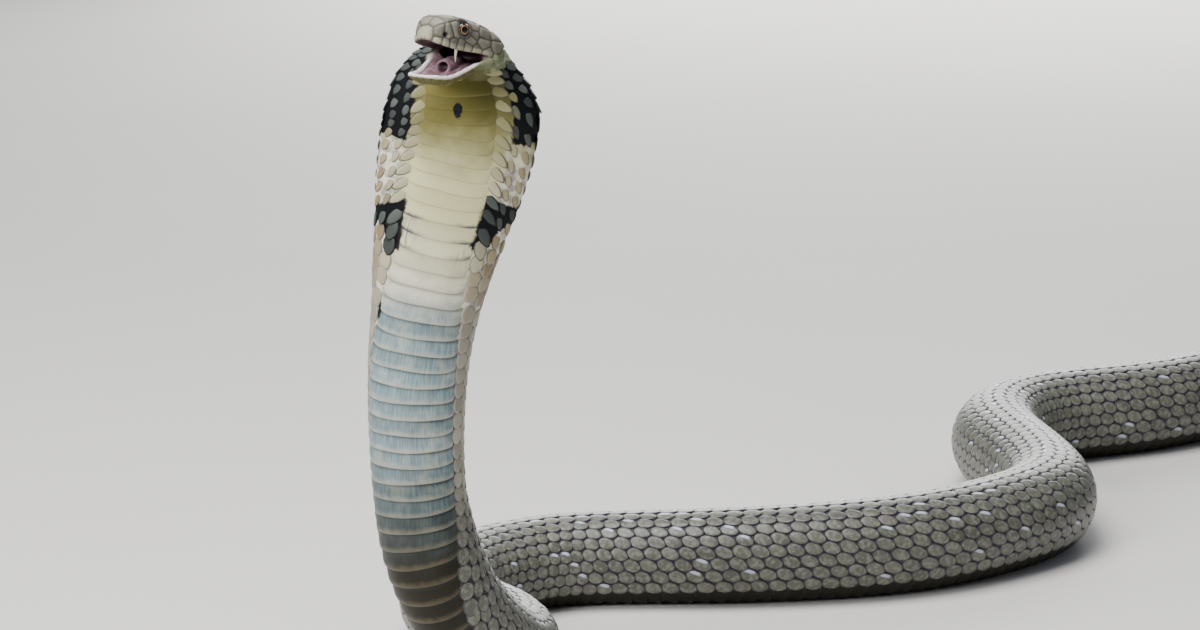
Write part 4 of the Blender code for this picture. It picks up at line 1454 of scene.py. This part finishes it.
# ---------------------------------------------------------------- scale lattice
# Width of each row beside the middle one, and how far it is shifted towards the head.
SIDE_WEIGHTS = (1.1, 1.0, 1.0, 1.0, 1.0, 1.0, 1.0, 1.08, 1.22)
ROW_SHEAR = (0.0, 0.2, 0.2, 0.2, 0.2, 0.2, 0.25, 0.35, 0.40)
FIRST_COLUMN = 6.0
# Share of the full spacing along the body, from the hood's top to the thick body.
PITCH_SHARE = smooth_knots(((0, 0.48), (20, 0.55), (70, 0.76), (130, 0.78), (210, 0.88),
                            (430, 0.86), (640, 0.89), (820, 1.0), (3386, 1.0)))


class Arcs:
    """Angles round the back of the body by share of the way, for any place."""

    def __init__(self):
        self.s = np.arange(0.0, LINE.length, 3.0)
        self.share = np.linspace(0, 1, 65)
        reach = np.radians(plate_reach(self.s))[:, None]
        spread = np.linspace(0, 1, 241)[None, :]
        angle = reach + (2 * np.pi - 2 * reach) * spread
        points = body_place(np.repeat(self.s[:, None], 241, 1), angle)
        arc = np.linalg.norm(np.diff(points, axis=1), axis=2)
        arc = np.concatenate([np.zeros((len(self.s), 1)), np.cumsum(arc, axis=1)], axis=1)
        self.length = arc[:, -1]
        self.angle = np.stack([
            np.interp(self.share * row[-1], row, a) for row, a in zip(arc, angle)])

    def read(self, s, share):
        i = np.clip(s / 3.0, 0, len(self.s) - 1.001)
        k = np.clip(share * 64, 0, 63.999)
        i0, k0 = i.astype(int), k.astype(int)
        fi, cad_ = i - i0, k - k0
        table = self.angle
        return ((1 - fi) * ((1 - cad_) * table[i0, k0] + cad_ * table[i0, k0 + 1])
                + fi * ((1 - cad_) * table[i0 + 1, k0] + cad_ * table[i0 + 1, k0 + 1]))


ROW_WIDTH = 8.6                # width of a row on the thick body
FIRST_SCALE, LAST_GAP = 4.0, 2.5
PLACE_JITTER, TURN_JITTER, SIZE_JITTER = 0.18, 2.0, 0.02
SCALE_SUNK = 0.3               # how far a scale's foot stands in the skin
# Turn of the side rows in degrees: on the body, on the hood, and more beside the plates.
BODY_SLANT, HOOD_SLANT, INNER_SLANT = -19.0, 22.0, 30.0
HOOD_TILT = 0.13               # how much a hood scale's tail end is lifted
# Length and width of a scale by its spacing, and what changes on the hood and in the
# hood's rows beside the plates.
SCALE_LENGTH, HOOD_LENGTH, INNER_LENGTH = 1.20, -0.17, 0.64
SCALE_WIDTH, HOOD_WIDTH, INNER_WIDTH = 1.14, -0.55, 0.22
# The flecks are painted highlights, pale bluish glints.
GLINT_FLECK_SHARE = 0.10             # share of the lying scales that carry a pale fleck
SETTLE_END = 75.0              # scales up to here are set down on the head's mesh
HALF_ROWS = 8.0                # rows are numbered from 0 at mid back to this at the plates


def hood_share(s):
    """1 on the hood, where the scales are spread, and 0 on the rest of the body."""
    return smoothstep(165.0, 120.0, s) * smoothstep(2.0, 16.0, s)


def back_lattice(sizes):
    """Places, sizes and directions of all the scales of back, flanks and hood."""
    arcs = Arcs()
    found = []
    s = FIRST_COLUMN
    while s < LINE.length - 2.0:
        girth = min(1.0, half_width(s) / THICK)
        arc = np.interp(s, arcs.s, arcs.length)
        pitch = sizes.scale_pitch / MM * girth ** 0.55 * PITCH_SHARE(s)
        side = max(round((arc / (ROW_WIDTH * girth ** 0.5) - 1) / 2), 2)
        even = hood_share(s)
        side = min(side, (sizes.scale_rows - 1) // 2) + int(even > 0.5)
        lying = np.interp(np.linspace(0, 1, side + 1),
                          np.linspace(0, 1, len(SIDE_WEIGHTS)), SIDE_WEIGHTS)
        weights = lying * (1 - even) + even
        outer = np.cumsum(np.concatenate([[weights[0] / 2], weights[1:]]))
        total = 2 * outer[-1]
        middles = np.concatenate([[0.0], (outer[:-1] + outer[1:]) / 2])
        shear = np.cumsum(np.interp(np.arange(side + 1), np.arange(len(ROW_SHEAR)), ROW_SHEAR))
        for k in range(side + 1):
            for sign in ((1, -1) if k else (1,)):
                found.append((s - shear[k] * pitch, 0.5 - sign * middles[k] / total,
                              sign * HALF_ROWS * k / side, pitch, weights[k] / total * arc))
        s += pitch
    rows = dict(zip(("s", "share", "row", "pitch", "width"), np.array(found).T))
    rows = pick(rows, (rows["s"] > FIRST_SCALE) & (rows["s"] < LINE.length - LAST_GAP))
    return rows, arcs.read(rows["s"], rows["share"])


def spread_rows(sizes):
    """All that the tree needs for the scales of back, flanks and hood."""
    rows, angle = back_lattice(sizes)
    random = np.random.default_rng(11)
    count = len(angle)
    s = rows["s"] + random.normal(0, PLACE_JITTER, count)
    sunk = -SCALE_SUNK * np.minimum(1, half_width(s) / THIN)
    place, out, tailward = body_frame(s, angle, sunk)
    spread = hood_share(s)
    side_row = np.abs(rows["row"])
    inner = smoothstep(7.2, 7.8, side_row)
    slant = (1 - spread) * BODY_SLANT * smoothstep(0, 3, side_row)
    slant += spread * smoothstep(0, 3, side_row) * (HOOD_SLANT + INNER_SLANT * inner)
    slant = np.radians(slant + random.normal(0, TURN_JITTER, count))
    sideways = np.cross(out, tailward)
    sign = np.where(np.sin(angle) > 0, 1.0, -1.0)
    tailward = unit(tailward * np.cos(slant)[:, None]
                    + sideways * (np.sin(slant) * sign)[:, None])
    out = unit(out - tailward * (HOOD_TILT * spread)[:, None])
    ahead, behind = body_place(s - 2.0, angle), body_place(s + 2.0, angle)
    stretch = np.clip(np.linalg.norm(ahead - behind, axis=1) / 4.0, 0.75, 1.5)
    length = rows["pitch"] * stretch * (
        SCALE_LENGTH + spread * (HOOD_LENGTH + INNER_LENGTH * inner))
    width = rows["width"] * (SCALE_WIDTH + spread * (HOOD_WIDTH + INNER_WIDTH * inner))
    size = random.normal(1.0, SIZE_JITTER, count)
    height = np.minimum(1.1, 0.09 * width + 0.25)
    return {
        "place": place, "out": out, "tailward": tailward,
        "size": np.stack([length * size, width * size, height], axis=1) * MM,
        "root": bake_root(s, angle), "tone": random.random(count),
        # Which lying scales carry a painted glint fleck.
        "fleck": (random.random(count) > 1 - GLINT_FLECK_SHARE) * (1 - spread) * (s > LYING_END),
        "side": sign, "s": s, **body_values(s, angle),
    }


def pick(rows, keep):
    return {key: value[keep] for key, value in rows.items()}


class SkinReader:
    """Finds places on the skin and reads its values there."""

    def __init__(self, skin):
        self.mesh = skin.data
        self.tree = BVHTree.FromObject(skin, bpy.context.evaluated_depsgraph_get())
        self.values = {name: read_attribute(self.mesh, name)
                       for name in ("plated", "lining", "gum", "hood")}

    def value(self, name, face):
        return float(self.values[name][list(self.mesh.polygons[face].vertices)].mean())


def settle(rows, reader, reach):
    """Bring the foremost scales down onto the skin; drop those off the hood."""
    keep = np.ones(len(rows["s"]), bool)
    for i in np.flatnonzero(rows["s"] < SETTLE_END):
        spot, normal, face, _ = reader.tree.find_nearest(Vector(rows["place"][i] * MM), reach * MM)
        if spot is None or reader.value("hood", face) < 0.5:
            keep[i] = False
            continue
        rows["place"][i] = np.array(spot) / MM
        rows["out"][i] = unit(np.array(normal) + rows["out"][i] * 2)
    return pick(rows, keep)


BEADS_START, BEADS_END = -6.0, 54.0     # forward places in the head's frame
BEAD_SPACING = 0.84            # distance between rings of beads, by their size
BEAD_LENGTH, BEAD_WIDTH = 1.36, 1.16
JAW_BEAD, CHEEK_BEAD = 0.75, 1.15       # how high the beads stand
JAW_GIRTH, CHEEK_GIRTH = 15.0, 21.0     # radii that the beads are counted on
RAY_LENGTH = 70.0


def bead_rows(reader, sizes):
    """Places for the small scales of the cheeks, the throat and under the jaw."""
    random = np.random.default_rng(3)
    size = sizes.bead_size / MM
    rows = {k: [] for k in ("place", "out", "tailward", "size", "root", "fleck")}
    for i, x in enumerate(np.arange(BEADS_START, BEADS_END, size * BEAD_SPACING)):
        jaw = x > MOUTH_CORNER + 1
        middle = head_point(x, 0.0, jaw_rim(x) - 3.0 if jaw else -6.0)
        count = int(2 * math.pi * (JAW_GIRTH if jaw else CHEEK_GIRTH) / size)
        for k in range(count):
            turn = 2 * math.pi * (k + 0.5 * (i % 2)) / count
            if jaw and math.cos(turn) > -0.05:
                continue
            ray = LEFT * math.sin(turn) + UP * math.cos(turn)
            spot, normal, face, _ = reader.tree.ray_cast(
                Vector((middle + ray * RAY_LENGTH) * MM), Vector(-ray), 0.075)
            if spot is None or reader.value("hood", face) > (0.2 if jaw else 0.5):
                continue
            if max(reader.value(name, face) for name in ("plated", "lining", "gum")) > 0.4:
                continue
            place, normal = np.array(spot) / MM, np.array(normal)
            _, across, up = head_frame(place)
            if not jaw and up < -14.0 and abs(across) < 12.0:
                continue
            flow = -FORWARD + np.array((0, 0, -0.9)) * smoothstep(34.0, 14.0, x)
            wide = random.normal(1.0, 0.06)
            rows["place"].append(place - normal * 0.25)
            rows["out"].append(unit(normal - 0.12 * unit(flow)))
            rows["tailward"].append(flow)
            rows["size"].append(wide * MM * np.array((
                size * BEAD_LENGTH, size * BEAD_WIDTH, JAW_BEAD if jaw else CHEEK_BEAD)))
            rows["root"].append(
                (0.02 + 0.95 * (x - BEADS_START) / 70, 0.02 + 0.95 * turn / (2 * math.pi), 0))
            rows["fleck"].append(smoothstep(-18.0, -5.0, up))
    rows = {k: np.array(v) for k, v in rows.items()}
    count = len(rows["fleck"])
    rows["tone"], rows["side"] = random.random(count), np.ones(count)
    return rows


# ----------------------------------------------------------------- belly plates
PLATE_START, NECK_END = 34.0, 470.0
# Share of the plate's length and height of its section, from under the plate ahead to
# under its own free edge.
PLATE_FORM = ((-0.16, -0.75), (0.04, -0.35), (0.30, 0.05), (0.62, 0.22), (0.88, 0.34),
              (1.00, 0.30), (1.05, 0.02), (1.05, -0.75))
PLATE_TOP = 0.34               # greatest height in that section
PLATE_PAST = 1.5               # degrees that a plate runs on under the scales
THROAT_CLOSER = 0.22           # how much closer the plates lie at the throat
PLATE_SWEEP = 1.6              # how far a plate's ends are drawn towards the head
PLATE_TUCK = 0.45              # how deep its ends are tucked in


def plate_mesh(name, start, end, cells, sizes):
    """Overlapping belly plates from one place to another, as one mesh."""
    random = np.random.default_rng(5)
    found = []
    across = np.linspace(-1, 1, cells + 1)
    ends = np.abs(across) ** 6
    s = start
    while s < end:
        girth = min(1.0, half_width(s) / THICK)
        pitch = sizes.plate_pitch / MM * girth ** 0.6
        pitch *= 1.0 - THROAT_CLOSER * smoothstep(150, 60, s)
        reach = math.radians(plate_reach(s) + PLATE_PAST)
        tone, skew = random.random(), random.normal(0, 0.15)
        lip = sizes.plate_lip / MM * min(1.0, 0.25 + girth)
        lip *= 0.55 + 0.45 * smoothstep(60, 190, s)
        wave = 0.35 * np.sin(across * random.uniform(2, 5) + random.uniform(0, 6))
        for share, rise in PLATE_FORM:
            along = s + pitch * share - PLATE_SWEEP * ends * max(share, 0)
            along = along + skew * across + wave
            lifted = rise * lip / PLATE_TOP if rise > 0 else rise * girth
            lifted = lifted * (1 - 0.9 * ends) - PLATE_TUCK * ends
            angle = across * reach * (1 - 0.05 * abs(share - 0.4))
            found.append({
                "point": body_place(along, angle, lifted), "map": bake_root(along, angle),
                "rear": np.full(cells + 1, share), "tone": np.full(cells + 1, tone),
                **body_values(along, angle),
            })
        s += pitch
    rows = {key: np.concatenate([row[key] for row in found]) for key in found[0]}
    width = cells + 1
    faces = [
        (a, a + width, a + width + 1, a + 1)
        for row in range(len(found)) if (row + 1) % len(PLATE_FORM)
        for a in range(row * width, row * width + cells)
    ]
    mesh = mesh_from(name, rows.pop("point"), faces)
    corners = read_all(mesh.loops, "vertex_index", kind=np.int32)
    layer = mesh.uv_layers.new(name="OFBake")
    layer.data.foreach_set("uv", rows.pop("map")[corners, :2].astype(np.float32).ravel())
    for key, values in rows.items():
        write_attribute(mesh, key, values)
    return link(name, mesh)


# ---------------------------------------------------------------------- operators
class OBJECT_OT_cobra_skin(bpy.types.Operator):
    """Make the one skin over head, jaw, hood, body and tail"""

    bl_idname = "object.cobra_skin"
    bl_label = "Skin"

    def execute(self, context):
        skin = build_skin(context)
        dress(skin, skin_finish(colour_table(context)), "head_skin", *FLESH)
        return {"FINISHED"}


# Name, slot and first place of each length of scales.
SCALE_LENGTHS = (("hood_scales", "front_skin", 0), ("front_scales", "body_skin", 250),
                 ("middle_scales", "body_skin", 1250), ("tail_scales", "body_skin", 2250))


class OBJECT_OT_cobra_scales(bpy.types.Operator):
    """Lay the scales of the back, the flanks and the hood"""

    bl_idname = "object.cobra_scales"
    bl_label = "Scales"

    def execute(self, context):
        sizes = context.scene.cobra_sizes
        material = scale_finish(colour_table(context))
        hood_shape = scale_shape("hood_shape", 12, 0.86, 0.42, SCALE_RIM)
        shape = scale_shape("scale_shape", 12, 0.84, 0.26, SCALE_RIM)
        reader = SkinReader(bpy.data.objects["skin"])
        rows = settle(spread_rows(sizes), reader, 4.0)
        ends = [low for _, _, low in SCALE_LENGTHS[1:]] + [LINE.length]
        for (name, slot, low), high in zip(SCALE_LENGTHS, ends):
            part = pick(rows, (rows["s"] >= low) & (rows["s"] < high))
            form = hood_shape if low == 0 else shape
            dress(lay_scales(name, form, material, part), material, slot)
        cheek = cheek_finish(colour_table(context))
        bead = scale_shape("bead_shape", 10, 0.92, 0.15, BEAD_RIM)
        beads = lay_scales("cheek_scales", bead, cheek, bead_rows(reader, sizes))
        dress(beads, cheek, "head_skin")
        for form in (shape, hood_shape, bead):
            bpy.data.objects.remove(form, do_unlink=True)
        return {"FINISHED"}


class OBJECT_OT_cobra_plates(bpy.types.Operator):
    """Lay the broad belly plates from the throat to the tail"""

    bl_idname = "object.cobra_plates"
    bl_label = "Belly plates"

    def execute(self, context):
        sizes = context.scene.cobra_sizes
        material = plate_finish(colour_table(context))
        neck = plate_mesh("neck_plates", PLATE_START, NECK_END, 36, sizes)
        dress(neck, material, "front_skin")
        belly = plate_mesh("belly_plates", NECK_END, LINE.length - 12.0, 14, sizes)
        dress(belly, material, "body_skin")
        return {"FINISHED"}


class OBJECT_OT_cobra_eyes(bpy.types.Operator):
    """Set the two eyes in their sockets"""

    bl_idname = "object.cobra_eyes"
    bl_label = "Eyes"

    def execute(self, context):
        material = eye_finish(colour_table(context))
        x, y, z = EYE_PLACE
        for side, word in ((1, "left"), (-1, "right")):
            middle = np.array((x, y * side, z))
            eye = rounded(ellipsoid(f"{word}_eye", middle, (EYE_RADIUS,) * 3), 1)
            away = np.stack(head_frame(read_places(eye.data)), 1) - middle
            cosine = unit(away) @ unit(np.array((0.42, 0.90 * side, 0.02)))
            write_attribute(eye.data, "from_pupil", np.arccos(np.clip(cosine, -1, 1)))
            dress(eye, material, "eye", f"eye_{word}")
        return {"FINISHED"}


class OBJECT_OT_cobra_fang(bpy.types.Operator):
    """Make the fang that shows in the open mouth"""

    bl_idname = "object.cobra_fang"
    bl_label = "Fang"

    def execute(self, context):
        x, y, z = FANG_PLACE
        sides, steps = 14, 16
        turns = 2 * np.pi * np.arange(sides) / sides
        rings, shares = [], np.arange(steps + 1) / steps
        for t in shares:
            radius = FANG_RADIUS * (1 - t) ** 0.75 + 0.10
            radius *= 1.0 + 0.35 * smoothstep(0.28, 0.0, t)
            rings.append(head_point(
                x - 2.2 * t * t + 1.1 * radius * np.cos(turns), y + radius * np.sin(turns),
                z + 1.2 - (FANG_LENGTH + 1.0) * t))
        fang = closed_form("fang_tooth", rings)
        write_attribute(fang.data, "root_share", np.repeat(1 - shares, sides))
        dress(fang, fang_finish(), "tooth", "fang")
        return {"FINISHED"}


CAMERA_PLACE = (0.06, -3.0, 0.903)
CAMERA_TILT = math.radians(12.0)
CAMERA_LENS = 135.0
FLOOR_HALF = 15000.0
ROOM_COLOUR, ROOM_LIGHT = (0.80, 0.87, 1.0, 1), 0.30
# Soft lights: name, place, aim, side in metres, watts.
LIGHTS = (
    ("sky_panel", (-0.3, -0.2, 2.2), (0.0, -0.05, 0.1), 1.5, 80.0),
    ("key_panel", (-1.7, -1.9, 1.5), (0.0, -0.1, 0.25), 1.2, 80.0),
    ("back_panel", (0.6, 3.4, 1.2), (0.3, 0.2, 0.05), 2.2, 100.0),
)


class OBJECT_OT_cobra_stage(bpy.types.Operator):
    """Set the camera, the soft lights and the pale floor"""

    bl_idname = "object.cobra_stage"
    bl_label = "Stage"

    def execute(self, context):
        scene = context.scene
        camera = link("camera", bpy.data.cameras.new("camera"))
        camera.location = CAMERA_PLACE
        camera.rotation_euler = (math.pi / 2 - CAMERA_TILT, 0, 0)
        camera.data.lens = CAMERA_LENS
        camera.data.clip_end = 40.0
        scene.camera = camera
        corners = [(x * FLOOR_HALF, y * FLOOR_HALF, 0)
                   for x, y in ((-1, -1), (1, -1), (1, 1), (-1, 1))]
        floor = link("floor", mesh_from("floor", corners, [(0, 1, 2, 3)]))
        floor.location.z = -0.0004
        finish = Finish("pale_floor")
        tint = finish.noise(finish.place(), 3.0)
        floor.data.materials.append(finish.wear(
            Base_Color=finish.mix(tint, (0.62, 0.60, 0.57), (0.66, 0.64, 0.61)),
            Roughness=0.85, Specular_IOR_Level=0.2))
        world = bpy.data.worlds.new("soft_room")
        world.use_nodes = True
        room = world.node_tree.nodes["Background"].inputs
        room["Color"].default_value, room["Strength"].default_value = ROOM_COLOUR, ROOM_LIGHT
        scene.world = world
        for name, place, target, size, power in LIGHTS:
            light = bpy.data.lights.new(name, "AREA")
            light.size, light.energy = size, power
            lamp = link(name, light)
            lamp.location = place
            aim = Vector(target) - Vector(place)
            lamp.rotation_euler = aim.to_track_quat("-Z", "Y").to_euler()
        return {"FINISHED"}


class VIEW3D_PT_cobra(bpy.types.Panel):
    """King cobra finish"""

    bl_label = "King cobra"
    bl_space_type = "VIEW_3D"
    bl_region_type = "UI"
    bl_category = "Cobra"

    def draw(self, context):
        layout = self.layout
        for group in (context.scene.cobra_sizes, context.scene.cobra_colours):
            for name in type(group).__annotations__:
                layout.prop(group, name)
        for operator in OPERATORS:
            layout.operator(operator.bl_idname)


OPERATORS = (
    OBJECT_OT_cobra_skin, OBJECT_OT_cobra_scales, OBJECT_OT_cobra_plates,
    OBJECT_OT_cobra_eyes, OBJECT_OT_cobra_fang, OBJECT_OT_cobra_stage,
)
CLASSES = (CobraSizes, CobraColours, *OPERATORS, VIEW3D_PT_cobra)


def register():
    for cls in CLASSES:
        bpy.utils.register_class(cls)
    bpy.types.Scene.cobra_sizes = PointerProperty(type=CobraSizes)
    bpy.types.Scene.cobra_colours = PointerProperty(type=CobraColours)


def unregister():
    del bpy.types.Scene.cobra_colours
    del bpy.types.Scene.cobra_sizes
    for cls in reversed(CLASSES):
        bpy.utils.unregister_class(cls)


def main():
    register()
    bpy.ops.object.cobra_skin()
    bpy.ops.object.cobra_scales()
    bpy.ops.object.cobra_plates()
    bpy.ops.object.cobra_eyes()
    bpy.ops.object.cobra_fang()
    bpy.ops.object.cobra_stage()


if __name__ == "__main__":
    main()
